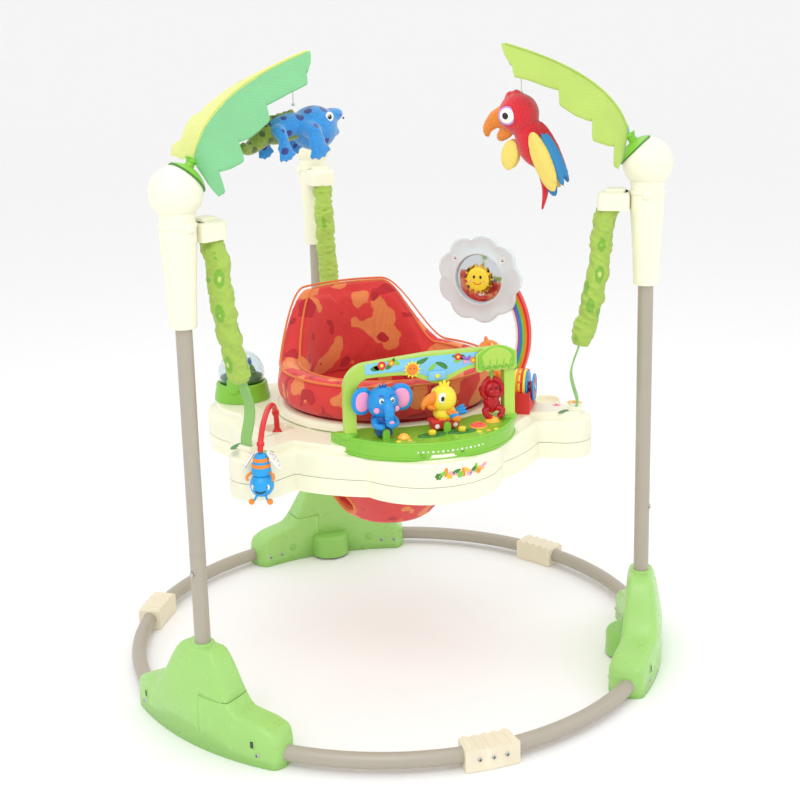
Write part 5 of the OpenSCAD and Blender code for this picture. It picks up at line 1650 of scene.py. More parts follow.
    def lizard(self, at: Place) -> None:
        """A lying stuffed lizard: spotted body, broad head, four paws, olive frill and curling tail."""
        form = Form()
        form.ball((33, 30, 30), at.move(-31, 0, -31))
        form.ball((21, 18, 10), at.move(-56, 0, -17).spin("y", 14))
        form.ball((17, 16, 7.5), at.move(-54, 0, -37).spin("y", -6))
        form.ball((36, 19, 17), at.move(14, 0, -26).spin("y", 10))
        for x, reach, drop, size in ((-10, 34, -47, 1.25), (36, 27, -52, 1.0)):
            for side in (-1, 1):
                form.limb([(x, side * 12, -28), (x - 1, side * (reach - 7), -33),
                           (x - 3, side * reach, drop + 8)], 14, (9.5 * size, 8.0 * size), 14, at)
                palm = at.move(x - 3, side * reach, drop).spin("y", 18)
                form.ball((11 * size, 5.4 * size, 10 * size), palm)
                for toe in (-40, -13, 13, 40):
                    form.ball((3.8 * size, 4.0 * size, 9.0 * size),
                              palm.spin("y", toe).move(0, 0, -11.5 * size))
        stuffed(form, "lizard_plush", "lizard", Plush("lizard_blue_plush", srgb(40, 146, 222), spots=19.0,
                                                      spot_colour=srgb(38, 52, 132)), 2.8,
                2.0, ("lizard",))
        olive = Form()
        olive.limb([(38, 0, -32), (56, 2, -42), (72, 6, -50), (84, 12, -50), (90, 16, -44)], 26, (14, 5.0),
                   16, at)
        olive.ball((30, 12, 7), at.move(14, 0, -40.5).spin("y", 10))
        for k in range(5):
            olive.ball((6.0, 3.0, 6.0, 12, 16), at.move(4 + 10.0 * k, 0, -9.5 - 1.9 * k))
        stuffed(olive, "lizard_tail", "lizard", Plush("lizard_olive_plush", srgb(136, 160, 56), spots=14.0,
                                                      spot_colour=srgb(70, 96, 40)), 2.0, 0.9)
        face = Form()
        for side in (-1, 1):
            eye(face, at.move(-40, side * 25.5, -16).spin("z", 180 if side > 0
                                                          else 0).spin("z", -24 * side), 5.6, 0, 1)
            face.ball((1.4, 1.4, 1.4, 8, 10), at.move(-76.0, side * 5.5, -20.5), paint=1)
        make(face, "lizard_face", "lizard", [WHITE, BLACK])

    def parrot(self, at: Place) -> None:
        """A stuffed parrot that leans on its cord: red head, hooked beak, felt wings, long tail."""
        lean = at.move(-9, 0, 0).spin("y", -17).stretch(1.1, 1.1, 1.08)
        red = Form()
        red.ball((27, 25, 28), lean.move(-3, 0, -27))
        red.ball((21, 19, 36), lean.move(3, 0, -68))
        red.ball((9, 7, 42), lean.move(27, 0, -86).spin("y", -9))
        red.limb([(4, 0, -92), (5, 0, -116), (0, 0, -138), (-12, 0, -160)], 24, (13, 3.0), 16, lean,
                 up=(1, 0, 0), flat=0.7)
        for side in (-1, 1):
            red.ball((7, 5, 3.6, 12, 16), lean.move(-3 + 7 * side, 0, 0.5).spin("y", 40 * side))
        stuffed(red, "parrot_plush", "parrot", Plush("parrot_red_plush", srgb(226, 34, 52)),
                2.6, 2.2, ("parrot",))
        beak = Form()
        beak.limb([(-16, 0, -24), (-34, 0, -25), (-48, 0, -33), (-53, 0, -44)], 22, (17, 3.0), 18, lean,
                  up=(0, 1, 0), flat=0.8)
        beak.ball((15, 10, 8.5), lean.move(-27, 0, -46).spin("y", -24))
        stuffed(beak, "parrot_beak", "parrot", Plush("parrot_beak_plush", srgb(246, 140, 40)),
                1.8, 0.9)
        for name, finish, wings in (("parrot_wings", Cloth("parrot_yellow_felt", srgb(255, 226, 116),
                                                           threads=0.8), ((-29, -9, -76, 12, 4, 21, 24),
                                                                          (13, -22, -97, 13, 4.5, 43, -4),
                                                                          (17, -25, -92, 9, 3.5, 38, -8),
                                                                          (-29, 9, -76, 12, 4, 21, 24),
                                                                          (13, 22, -97, 13, 4.5, 43, -4))),
                                    ("parrot_feathers", Cloth("parrot_blue_felt", srgb(58, 146, 208),
                                                              threads=0.8), ((26, -19, -98, 7, 3.5, 39, -6),
                                                                             (32, -15, -94, 6, 3.5, 34, -9),
                                                                             (26, 19, -98, 7, 3.5, 39, -6),
                                                                             (10, 0, -124, 8, 7.5, 24,
                                                                              -4)))):
            form = Form()
            for x, y, z, rx, ry, rz, turn in wings:
                form.ball((rx, ry, rz), lean.move(x, y, z).spin("y", turn))
            stuffed(form, name, "parrot", finish, 1.8, 1.0)
        face = Form()
        for side in (-1, 1):
            spot = lean.move(-14, side * 22.0, -25).spin("z", 180 if side > 0 else 0)
            face.ball((12.0, 3.6, 12.6, 16, 24), spot, paint=2)
            face.ball((10.2, 3.8, 10.8, 16, 24), spot.move(0, -0.8, 0), paint=0)
            face.ball((4.0, 1.8, 4.6, 12, 16), spot.move(-1.5 if side < 0 else 1.5, -4.2, 0.5), paint=1)
        make(face, "parrot_eyes", "parrot", [WHITE, BLACK, LILAC])


# ---- Console ----


def outline_bumps(r: float, deep: float, count: int, points: int = 180) -> Array:
    """Outline of a scalloped disc: r plus deep times |cos| of half the bumps' angle."""
    u = np.linspace(0, 360, points, endpoint=False)
    d = r + deep * (np.abs(cosd(u * count / 2)) - 0.5)
    return np.stack([d * cosd(u), d * sind(u)], 1)


def leaf_outline(length: float, width: float, points: int = 40) -> Array:
    """Outline of a pointed leaf along +X from the origin."""
    t = np.linspace(0, 2 * np.pi, points, endpoint=False)
    return np.stack([length * (0.5 + 0.5 * np.cos(t)), width / 2 * np.sin(t)
                     * (0.75 + 0.35 * np.cos(t + 2.2))], 1)


def rays_outline(inner: float, outer: float, count: int) -> Array:
    """Outline of a sun: points that go out and in."""
    u = np.linspace(0, 360, count * 2, endpoint=False)
    r = np.where(np.arange(count * 2) % 2, inner, outer)
    return filleted(np.stack([r * cosd(u), r * sind(u)], 1), (outer - inner) * 0.3, 3, True)


@dataclass
class Console:
    """Half-moon console with its arch, three toys, two sliders and three lamps."""

    top_z: float = 403.0
    deck_z: float = 390.0
    toy_y: float = -206.0
    arch_y: float = -186.0
    arch_x: float = 4.0
    arch_half: float = 126.0
    arch_h: float = 108.0
    leg_w: float = 16.0
    arch_t: float = 14.0

    def build(self) -> None:
        """Makes the console's pieces."""
        softened("console_base", "console_body", "tray", LEAF_GREEN, 2.2)
        self.trim()
        softened("console_arch", "console_arch_body", "tray", LIME, 1.6)
        self.arch_print()
        self.foliage()
        self.elephant(HERE.move(-72, self.toy_y, self.top_z))
        self.bird(HERE.move(17, self.toy_y, self.top_z))
        self.monkey(HERE.move(96.5, self.arch_y, 0))
        self.sliders()
        self.lamps()

    def trim(self) -> None:
        """Rim along the console's front, sockets of the arch, slot frames, buttons and front dots."""
        form = Form()
        a = np.linspace(196, 344, 120)
        for inset, z, r, paint in ((3.2, self.top_z, 2.6, 0), (-0.2, self.deck_z - 6.5, 1.3, 0)):
            path = np.stack([self.arch_x + (140 - inset) * cosd(a), -130 + (140 - inset) * sind(a),
                             np.full(120, z)], 1)
            form.grid(tube(path, r, 12, up=(0, 0, 1)), caps="se", paint=paint)
        for x in (self.arch_x - self.arch_half + 8, self.arch_x + self.arch_half - 8):
            cup = filleted([(9.0, -1), (14.6, -1), (14.2, 4.5), (12.4, 6.4), (9.0, 6.2)],
                           [0, 0.4, 1.5, 1.5, 1], 4)
            form.grid(lathe(cup, 40), HERE.move(x, self.arch_y, self.top_z).stretch(0.92, 0.82, 1))
        for x in (-8, 36):
            slot = circle(1.0) * [21.2, 8.5]
            inner = circle(1.0) * [12.2, 3.9]
            levels = ((slot, -0.5), (slot * 0.97, 1.5), (slot * 0.92, 2.1), (slot * 0.3 + inner * 0.7, 0.7),
                      (inner, 0.2), (inner, -0.5))
            ring = [np.column_stack([line, np.full(48, z)]) for line, z in levels]
            form.grid(np.stack(ring), HERE.move(x, -226, self.top_z), paint=1)
        for k, x in enumerate((-60, -44, 58, 72, 84)):
            form.ball((3.8, 3.8, 2.2, 12, 20), HERE.move(x, -238 + 0.05 * abs(x), self.top_z),
                      paint=2 + k % 2)
        for k in range(15):
            angle = 251 + 2.8 * k
            place = HERE.move(self.arch_x, -130, self.deck_z + 3.5).spin("z", angle).move(140.0).spin("y", 90)
            form.slab(circle(1.2 + 0.5 * (k % 2), 14), -0.3, 0.35, place, 0.2, 0.0, paint=4)
        for x, turn in ((-38, 160), (52, 20), (20, 90)):
            form.slab(leaf_outline(13, 8), 0.0, 1.0, HERE.move(x, -247, self.top_z).spin("z", turn), 0.4,
                      0.0, paint=5)
        make(form, "console_trim", "tray", [LEAF_GREEN, DEEP_GREEN, YELLOW, AMBER, WHITE, LIME])

    def arch_print(self) -> None:
        """Printed band on the arch's front: leaves, flowers, a sun, a butterfly, and a clip."""
        y = self.arch_y - self.arch_t / 2
        front = HERE.move(0, y, 0).spin("x", 90)
        x = np.linspace(-96, 92, 60)
        low = self.top_z + self.arch_h - 21 - 15 * np.exp(-(((x - 12) / 32) ** 2))
        high = self.top_z + self.arch_h - 4.0 - 0.00025 * x * x
        band = np.concatenate([np.stack([x, low], 1), np.stack([x, high], 1)[::-1]])
        form = Form().slab(band + [self.arch_x, 0], 0.0, 0.5, front, 0.25, 0.0, paint=0)
        spot = lambda sx, sz: HERE.move(self.arch_x + sx, y - 0.45, self.top_z + sz).spin("x", 90)
        for sx, sz, size, turn, paint in ((-88, 94, 22, 15, 1), (-84, 99, 18, -25, 2), (-66, 92, 20, 50, 1),
                                          (-46, 97, 20, 160, 2), (-22, 96, 19, 20, 1), (24, 84, 20, 150, 1),
                                          (34, 92, 19, 30, 2), (52, 95, 22, 165, 1), (70, 97, 20, 10, 2),
                                          (-4, 84, 16, 40, 2), (88, 96, 16, 200, 1)):
            form.slab(leaf_outline(size, size * 0.45), 0.0, 0.4, spot(sx, sz).spin("z", turn), 0.2, 0.0,
                      paint=paint, steps=1)
        for sx, sz, r, paint in ((-72, 98, 6.0, 3), (-58, 100, 4.2, 4), (40, 99, 5.0, 3), (63, 92, 4.6, 4),
                                 (80, 100, 4.0, 3)):
            form.slab(circle(r, 30), 0.35, 0.8, spot(sx, sz), 0.2, 0.0, paint=paint, steps=1)
            form.slab(circle(r * 0.4, 16), 0.7, 1.0, spot(sx, sz), 0.15, 0.0, paint=5, steps=1)
        sun = spot(-28, 88)
        form.slab(rays_outline(8.5, 13.5, 12), 0.4, 0.9, sun, 0.2, 0.0, paint=5, steps=1)
        form.slab(circle(8.2, 32), 0.8, 1.4, sun, 0.3, 0.0, paint=4, steps=2)
        for s in (-1, 1):
            form.slab(circle(0.9, 12), 1.3, 1.7, sun.move(s * 3, 1.5, 0), 0.1, 0.0, paint=6, steps=1)
            form.slab(leaf_outline(9, 6), 0.4, 1.0, spot(52, 93).spin("z", 90 + s * 48), 0.2, 0.0, paint=7,
                      steps=1)
            form.slab(leaf_outline(6, 4.4), 0.4, 1.1, spot(52, 93).spin("z", 270 + s * 38), 0.2, 0.0,
                      paint=8, steps=1)
        form.slab(filleted([(-14, -6), (14, -6), (12, 7), (-12, 7)], 3.5, 4, True), -0.8, 3.4, spot(8, 75),
                  1.2, 0.0, paint=9)
        form.slab(circle(3.2, 24), 3.0, 4.4, spot(8, 75.5), 0.8, 0.0, paint=5)
        make(form, "arch_print", "tray", [SKY, DEEP_GREEN, LEAF_GREEN, SCARLET, ORANGE, YELLOW, BLACK,
                                          PURPLE, PINK, SKY])

    def foliage(self) -> None:
        """Leafy hood at the arch's right corner: scalloped layers with ribs, over the monkey's hook."""
        form = Form()
        for depth, scale, drop, paint in ((0.0, 1.0, 0.0, 0), (2.4, 0.88, 3.0, 1), (4.4, 0.72, 6.5, 0)):
            x = np.linspace(-27, 35, 70) * scale
            low = -9.5 - 4.0 * np.abs(np.sin((x / scale + 27) / 62 * np.pi * 5)) ** 0.6 + drop * 1.2
            high = 24 - 0.012 * (x / scale - 4) ** 2 - drop * 0.3
            shape = np.concatenate([np.stack([x, low], 1), np.stack([x, np.maximum(high, low + 4)], 1)[::-1]])
            place = HERE.move(96.5, self.arch_y - self.arch_t / 2 - 2.4, 490).spin("x", 90)
            form.slab(shape, depth - 0.3, depth + 2.4, place, 1.0, 0.3, paint=paint)
        for k in range(5):
            vein = HERE.move(96.5, self.arch_y - self.arch_t / 2 - 9.0,
                             490).spin("x", 90).move(-17 + 10 * k, -1.5)
            form.ball((1.1, 8.5, 1.0, 12, 14), vein.spin("z", 14 - 7 * k), paint=1)
        make(form, "arch_foliage", "tray", [LIME, LEAF_GREEN])

    def elephant(self, at: Place) -> None:
        """Blue elephant: shirt, green neck ring, big pink ears, cheeks and a curled trunk."""
        form = Form()
        block = rounded(-11, 11, -9.6, 9.6, 3.0)
        form.slab(block, 4.0, 17.5, at, 2.0, 1.5, paint=1)
        body = filleted([(0.1, 13), (13, 13), (15.5, 18), (17.5, 24), (16, 31), (11.5, 35), (0.1, 36)],
                        [0, 2, 2.5, 4, 3, 2, 0], 5)
        form.grid(lathe(body, 48), at.stretch(1.02, 0.86, 1), paint=1)
        form.grid(lathe(filleted([(9, 30.5), (14.2, 31), (14.6, 33.4), (12.5, 35.2), (9, 35)], 1.0), 40),
                  at.stretch(1, 0.86, 1), paint=2)
        for s in (-1, 1):
            form.limb([(s * 13, -6, 27), (s * 15, -13, 22), (s * 9, -17, 20)], 12, (5.0, 4.2), 14, at)
            form.ball((5.0, 4.6, 4.6, 12, 16), at.move(s * 8, -17.5, 20), paint=0)
            ear = at.move(s * 28, 5, 53).spin("z", -s * 14)
            form.ball((16.5, 4.4, 19.5, 20, 32, 0.9), ear, paint=0)
            form.ball((11.5, 3.4, 14, 20, 32, 0.9), ear.move(0.5 * s, -2.6, -0.5), paint=3)
            form.ball((4.4, 2.2, 4.0, 12, 18), at.move(s * 14.5, -18.4, 44).spin("z", s * 30), paint=3)
            eye(form, at.move(s * 7.6, -20.2, 57).spin("z", s * 16), 3.5, 4, 5)
            form.grid(tube(spline([(s * 4.5, -21.3, 63.5), (s * 8, -19.8, 65.2), (s * 11.5, -18.4, 63.8)],
                                  10), 0.8, 8), at, caps="se", paint=1)
        form.ball((22.5, 21.5, 22.5, 28, 44), at.move(0, 0, 50), paint=0)
        trunk = spline([(0, -18, 53), (0, -26, 48), (0, -29.5, 40), (0, -28.5, 32.5), (0, -32.5, 28),
                        (0, -37.5, 30.5)], 40)
        width = np.linspace(8.0, 4.6, 40) + 0.45 * np.sin(np.linspace(0, 2 * np.pi * 8, 40))
        form.grid(tube(trunk, width, 20, up=(1, 0, 0)), at, caps="se", paint=0)
        form.ball((3.4, 1.4, 3.0, 10, 14), at.move(0, -39.4, 31.5).spin("x", 35), paint=3)
        for k in (-1, 0, 1):
            form.ball((1.6, 2.2, 5.0, 10, 12), at.move(3.2 * k, -3, 72).spin("y", 22 * k), paint=1)
        make(form, "elephant_toy", "elephant", [BLUE, NAVY, LEAF_GREEN, PINK, WHITE, BLACK],
             ("elephant",))

    def bird(self, at: Place) -> None:
        """Yellow bird on a red bench: tuft, big orange beak, striped wing and a blue tail."""
        form = Form()
        bench = rounded(-19.5, 19.5, -9.7, 9.7, 3.0)
        form.slab(bench, 4.0, 13.0, at, 1.6, 1.4, paint=2)
        form.slab(rounded(-22, 22, -11, 11, 4.0), 12.0, 17.2, at, 1.8, 1.2, paint=2)
        for s in (-1, 1):
            form.slab(circle(3.4, 24), 9.4, 10.6, at.move(s * 13.5, 0, 8.5).spin("x", 90), 0.6, 0.0, paint=4)
            foot = at.move(s * 6.5, -7.5, 18)
            for toe in (-1, 0, 1):
                form.ball((1.9, 4.2, 1.8, 10, 14), foot.move(toe * 2.8, -2.5, 0).spin("z", toe * 18), paint=1)
        body = filleted([(0.1, 15.5), (11, 16), (16.0, 22), (15, 29), (11, 34), (0.1, 36)],
                        [0, 2, 3, 3, 3, 0], 5)
        form.grid(lathe(body, 48), at.move(1, 0, 0).stretch(1.05, 0.86, 1), paint=0)
        form.ball((19, 17.5, 19.5, 26, 40), at.move(-1, 0, 45), paint=0)
        form.limb([(-14, -4, 48), (-24, -6, 47), (-32, -7, 41), (-33, -7, 34.5)], 22, (10.0, 1.8), 20, at,
                  1, up=(0, 1, 0), flat=0.78)
        form.ball((9, 6.4, 4.6, 14, 22), at.move(-20, -5, 36).spin("y", 26), paint=1)
        for s in (-1, 1):
            spot = at.move(-7, s * 15.0, 50).spin("z", 180 if s > 0 else 0).spin("z", 16)
            form.ball((7.0, 2.6, 7.8, 16, 22), spot, paint=4)
            form.ball((3.0, 1.6, 3.6, 12, 16), spot.move(-1.2, -2.1, -0.4), paint=5)
            wing = at.move(8, s * 13.5, 26)
            for k, paint in enumerate((1, 3, 1)):
                form.ball((10.5 - 1.6 * k, 3.0, 5.2, 14, 20),
                          wing.move(2.6 * k, s * 0.8 * k, -3.6 * k).spin("y", 24), paint=paint)
        for k in (-1, 0, 1):
            form.grid(ellipsoid(2.6, 2.6, 7.5 - abs(k), 12, 14),
                      at.move(1 + 4.2 * k, 0, 64.5 - 1.2 * abs(k)).spin("y", 24 * k + 8), paint=0)
            form.ball((10, 2.4, 3.2, 12, 16), at.move(24, 4.2 * k,
                                                      25 + 2.0 * k).spin("y", -16 - 8 * k).spin("z",
                                                                                                10 * k),
                      paint=3)
        make(form, "bird_toy", "bird", [YELLOW, ORANGE, SCARLET, BLUE, WHITE, BLACK],
             ("bird_rocker",))

    def monkey(self, at: Place) -> None:
        """Clear red monkey on a green stem: head, belly, arms up round the stem, tail and feet."""
        form = Form()
        z0 = self.top_z
        form.ball((13.0, 11.5, 13.0, 22, 34), at.move(0, 0, z0 + 45))
        form.ball((9.5, 6.0, 7.0, 16, 24), at.move(0, -8.5, z0 + 41.5))
        form.ball((11.5, 10.0, 15.5, 22, 34), at.move(0, 0, z0 + 25))
        for s in (-1, 1):
            form.ball((5.2, 3.0, 5.8, 14, 20), at.move(s * 14, 0, z0 + 46))
            form.limb([(s * 8, -1, z0 + 33), (s * 15, -4, z0 + 42), (s * 11, -3, z0 + 55),
                       (s * 3.0, -1, z0 + 62)], 22, (4.4, 3.2), 14, at)
            form.limb([(s * 6, -2, z0 + 18), (s * 13, -8, z0 + 16), (s * 11, -11, z0 + 9),
                       (s * 8, -12, z0 + 7.2)], 18, (5.2, 3.6), 14, at)
            form.ball((4.2, 5.8, 3.6, 12, 18), at.move(s * 8, -13, z0 + 8.4))
            form.ball((2.0, 1.2, 2.4, 10, 14), at.move(s * 4.4, -11.6, z0 + 49), paint=1)
        form.limb([(2, 6, z0 + 14), (10, 10, z0 + 12), (15, 9, z0 + 20), (11, 7, z0 + 26)], 20, (3.4, 2.0),
                  12, at)
        make(form, "monkey_toy", "monkey", [Clear("red_clear_plastic", srgb(232, 40, 56), rough=0.12,
                                                  pass_through=0.55), Moulded("deep_red_plastic",
                                                                              srgb(120, 10, 30))],
             ("monkey",))
        hook = Form()
        hook.limb([(0, 0, 464), (0.6, 0, 471), (-0.5, 0, 477), (0, 0, 483.5)], 16, (3.0, 2.3), 14, at)
        eye_ring = np.linspace(0, 360, 28, endpoint=False)
        loop = np.stack([0 * eye_ring, 3.0 * cosd(eye_ring), 490 + 3.0 * sind(eye_ring)], 1)
        section = np.linspace(0, 360, 10, endpoint=False)[None, :, None]
        way = np.stack([0 * eye_ring, cosd(eye_ring), sind(eye_ring)], 1)[:, None]
        hook.grid(loop[:, None] + cosd(section) * way + 1.6 * sind(section) * np.array([1.0, 0, 0]), at,
                  wrap="uv")
        hook.grid(tube(spline([(0, 0, 483), (0, 0, 485), (0, 0, 486.2)], 6), 2.2, 12), at, caps="se")
        make(hook, "monkey_stem", "monkey", [LEAF_GREEN])

    def sliders(self) -> None:
        """Two ribbed yellow knobs, each on its own slide."""
        for k, x in enumerate((-8.0, 36.0)):
            t = np.linspace(0, 360, 72, endpoint=False)
            ridge = 1 + 0.05 * cosd(t * 12)
            rows = []
            for r, z in ((2.4, -6.4), (5.0, -6.2), (5.0, -4.2), (2.4, -4.0), (2.4, 1.0), (4.6, 1.2),
                         (5.3, 2.2), (5.3, 6.0), (4.7, 7.3), (3.0, 7.9), (0.1, 8.0)):
                rows.append(np.stack([r * ridge * cosd(t), r * ridge * sind(t), np.full(72, z)], 1))
            key = ("left", "right")[k]
            make(Form().grid(np.stack(rows), HERE.move(x, -226, self.top_z), caps="se"),
                 f"slider_cap_{key}", f"slider_{key}", [YELLOW], (f"slider_{key}",))

    def lamps(self) -> None:
        """Three cut lamp covers, lit from inside, each in a thin collar."""
        form, rims = Form(), Form()
        for k, (x, y, r) in enumerate(((-48, -222, 8), (66, -212, 11), (94, -196, 10))):
            place = HERE.move(x, y, self.top_z + 0.1)
            cut = [(r * 0.98, 0.0), (r * 0.98, 1.4), (r * 0.66, 4.6), (r * 0.3, 6.2), (0.1, 6.5)]
            form.grid(lathe(cut, 8), place, paint=1 if k == 1 else 0)
            rims.grid(lathe(filleted([(r - 0.4, -0.2), (r + 2.0, -0.2), (r + 1.6, 1.6), (r + 0.2, 1.8)],
                                     0.5), 40), place)
        make(form, "lamp_covers", "tray", [Moulded("orange_lamp", srgb(255, 150, 60), rough=0.1, glow=1.1,
                                                   clear=0.3), Moulded("red_lamp", srgb(255, 70, 60),
                                                                       rough=0.1, glow=1.0, clear=0.3)],
             ("lamp_gems",), sharp=6)
        make(rims, "lamp_collars", "tray", [AMBER])


# ---- Toys on the tray ----


@dataclass
class TrayToys:
    """Bubble, roller, cloud mirror with its arm and sun, tiger, and the bug on its stem."""

    deck_z: float = 390.0
    bubble_r: float = 36.0
    roller_r: float = 27.0
    roller_w: float = 24.0

    def build(self) -> None:
        """Makes all the toys."""
        self.bubble(post(150, 232))
        self.roller(post(328, 208))
        cloud = post(30, 234, 546).spin("z", 105)
        self.cloud(cloud)
        self.rainbow(cloud)
        self.sun(cloud)
        self.tiger(post(18, 207, self.deck_z).spin("z", 60))
        self.bug(HERE.move(-190, -69, 0).spin("z", 247.6))

    def bubble(self, at: Place) -> None:
        """Green saddle, clear ball, and a bumpy blue creature on a dark dome inside."""
        r, z = self.bubble_r, self.deck_z + self.bubble_r + 4
        t = np.linspace(16, 70, 14)
        inner = np.stack([(r + 0.8) * sind(t), z - (r + 0.8) * cosd(t)], 1)
        top = float(z - (r + 0.8) * cosd(70.0))
        section = np.vstack([inner, filleted([(r + 0.6, top), (r + 3.6, top - 1), (r + 4.6, top - 9),
                                              (r + 7.2, self.deck_z + 5), (r + 7.6, self.deck_z + 0.1),
                                              (9.0, self.deck_z + 0.1)], [0, 1.4, 3, 3, 1.0, 0], 5)])
        form = Form().grid(lathe(section, 72), at, wrap="uv")
        for s in (-1, 1):
            horn = at.move(0, s * (r + 4.2), z - 10)
            form.ball((11, 4.4, 15, 18, 26, 0.85), horn)
        make(form, "bubble_saddle", "tray", [LEAF_GREEN], ("bubble_base",))
        ball = Form()
        v = np.linspace(-89.5, 89.5, 40)
        outer = np.stack([r * cosd(v), r * sind(v)], 1)
        ball.grid(lathe(np.vstack([outer, outer[::-1] * (r - 1.5) / r]), 72), at.move(z=z), wrap="uv")
        make(ball, "bubble_ball", "bubble", [Clear("bubble_clear", srgb(240, 248, 252), rough=0.02)],
             ("bubble",))
        toy = Form()
        v = np.linspace(-88, -8, 24)
        bowl = np.stack([(r - 2.2) * cosd(v), (r - 2.2) * sind(v)], 1)
        toy.grid(lathe(np.vstack([bowl, [(29.5, -3.6), (24, 0.5), (14, 3.0), (0.1, 4.0)]]), 60),
                 at.move(z=z), paint=0)
        toy.ball((14.5, 12.5, 12.0, 22, 32), at.move(0, 0, z + 10), paint=1)
        toy.ball((8.6, 8.2, 7.8, 18, 26), at.move(-9, 0, z + 17), paint=1)
        rng = np.random.default_rng(8)
        for lon, lat in zip(rng.uniform(0, 360, 26), rng.uniform(-10, 70, 26)):
            spot = np.array([14.2 * cosd(lat) * cosd(lon), 12.2 * cosd(lat) * sind(lon), 11.8 * sind(lat)])
            toy.ball((2.3, 2.3, 2.3, 8, 12), at.move(float(spot[0]), float(spot[1]),
                                                     z + 10 + float(spot[2])), paint=2)
        for s in (-1, 1):
            eye(toy, at.move(-13, s * 5.0, z + 22.0).spin("z", -90), 2.6, 3, 4)
        for k in range(7):
            toy.ball((1.4, 4.4, 1.2, 8, 12), at.spin("z", 51.4 * k + 14).move(22, 0, z + 2.4).spin("y", 18),
                     paint=5)
        make(toy, "bubble_creature", "bubble", [DEEP_GREEN, BLUE, NAVY, WHITE, BLACK, LEAF_GREEN],
             ("bubble_toy",))

    def roller(self, at: Place) -> None:
        """Fluted red box with a striped blue drum on its axle and a patterned disc outside."""
        softened("roller_box", "roller_housing", "tray", SCARLET, 1.6)
        form = Form()
        for k in range(9):
            for x in (17.0, -17.0):
                form.ball((1.1, 2.6, 9.0, 12, 14), at.move(x, -28 + 7.0 * k, self.deck_z + 13))
        make(form, "roller_flutes", "tray", [SCARLET])
        drum = Form()
        place = at.move(z=self.deck_z + self.roller_r + 6).spin("y", 90)
        r, half = self.roller_r, self.roller_w / 2
        cuts = np.array([-1.0, -0.72, -0.42, -0.14, 0.14, 0.42, 0.72, 1.0]) * half
        for k, (a, b) in enumerate(zip(cuts[:-1], cuts[1:])):
            out = r - (2.2 if k in (0, 6) else 0.4 * (k % 2))
            band = [(8.0, a), (out - 0.8, a), (out, a + 0.8), (out, b - 0.8), (out - 0.8, b), (8.0, b)]
            drum.grid(lathe(band, 72), place, wrap="uv", paint=(0, 1, 2, 1, 3, 1, 0)[k])
        for k in range(12):
            drum.ball((2.2, 2.2, 2.6, 10, 14), place.spin("z", 30 * k).move(r - 1.0), paint=2)
        drum.grid(lathe([(0.1, -17.2), (2.6, -17.2), (2.8, -16.8), (2.8, 22.0), (0.1, 22.0)], 24), place,
                  paint=4)
        wheel = filleted([(0.1, 18.2), (20.6, 18.2), (20.8, 20.8), (18.8, 21.3), (17.8, 20.4), (5.0, 20.4),
                          (4.4, 21.4), (0.1, 21.6)], 0.6)
        drum.grid(lathe(wheel, 56), place, paint=0)
        for k in range(6):
            drum.slab(leaf_outline(11.0, 7.0), 20.3, 20.9, place.spin("z", 60 * k).move(5.6), 0.25, 0.0,
                      paint=3 if k % 2 else 2)
        make(drum, "roller_wheel", "roller", [BLUE, YELLOW, ORANGE, SCARLET, WHITE],
             ("roller_drum",))

    def cloud(self, at: Place) -> None:
        """Milky scalloped disc with two screw wells round a silver mirror."""
        face = at.spin("z", 180).spin("x", 90)
        u = np.linspace(0, 360, 270, endpoint=False)
        shape = outline_bumps(70.5, 7.0, 9, 270)
        ring = lambda scale, z: np.column_stack([shape * scale, np.full(270, z)])
        hub = lambda r, z: np.column_stack([circle(r, 270), np.full(270, z)])
        rows = [hub(41, 0.9), hub(41.0, 4.6), hub(42.5, 5.2), hub(44.6, 4.6), hub(46.2, 3.2),
                ring(0.78, 3.0), ring(0.9, 3.6), ring(0.955, 4.9), ring(0.985, 4.4), ring(1.0, 2.6),
                ring(1.0, -3.6), ring(0.97, -4.8), ring(0.8, -4.9), hub(41.0, -4.9), hub(6.0, -4.9),
                hub(6.0, -2.4), hub(30.0, -1.0)]
        make(Form().grid(np.stack(rows), face, wrap="uv"), "cloud_disc", "tray", [MILKY],
             ("cloud_mirror",), sharp=50)
        form = Form()
        form.grid(lathe([(3.4, 0.6), (40.4, 0.6), (40.4, 1.4), (39.8, 1.8), (3.4, 1.8)], 96), face,
                  wrap="uv", paint=0)
        for angle in (38, 142):
            spot = face.spin("z", angle).move(53)
            form.grid(lathe(filleted([(2.6, 2.6), (5.2, 2.6), (5.2, 3.9), (4.4, 4.3), (3.2, 3.6),
                                      (2.6, 2.9)], 0.3), 28), spot, wrap="uv", paint=1)
            form.grid(lathe([(0.1, 2.9), (2.4, 2.9), (2.6, 3.2), (1.2, 3.7), (0.1, 3.7)], 20), spot, paint=0)
        make(form, "cloud_mirror_plate", "tray", [MIRROR, WHITE])

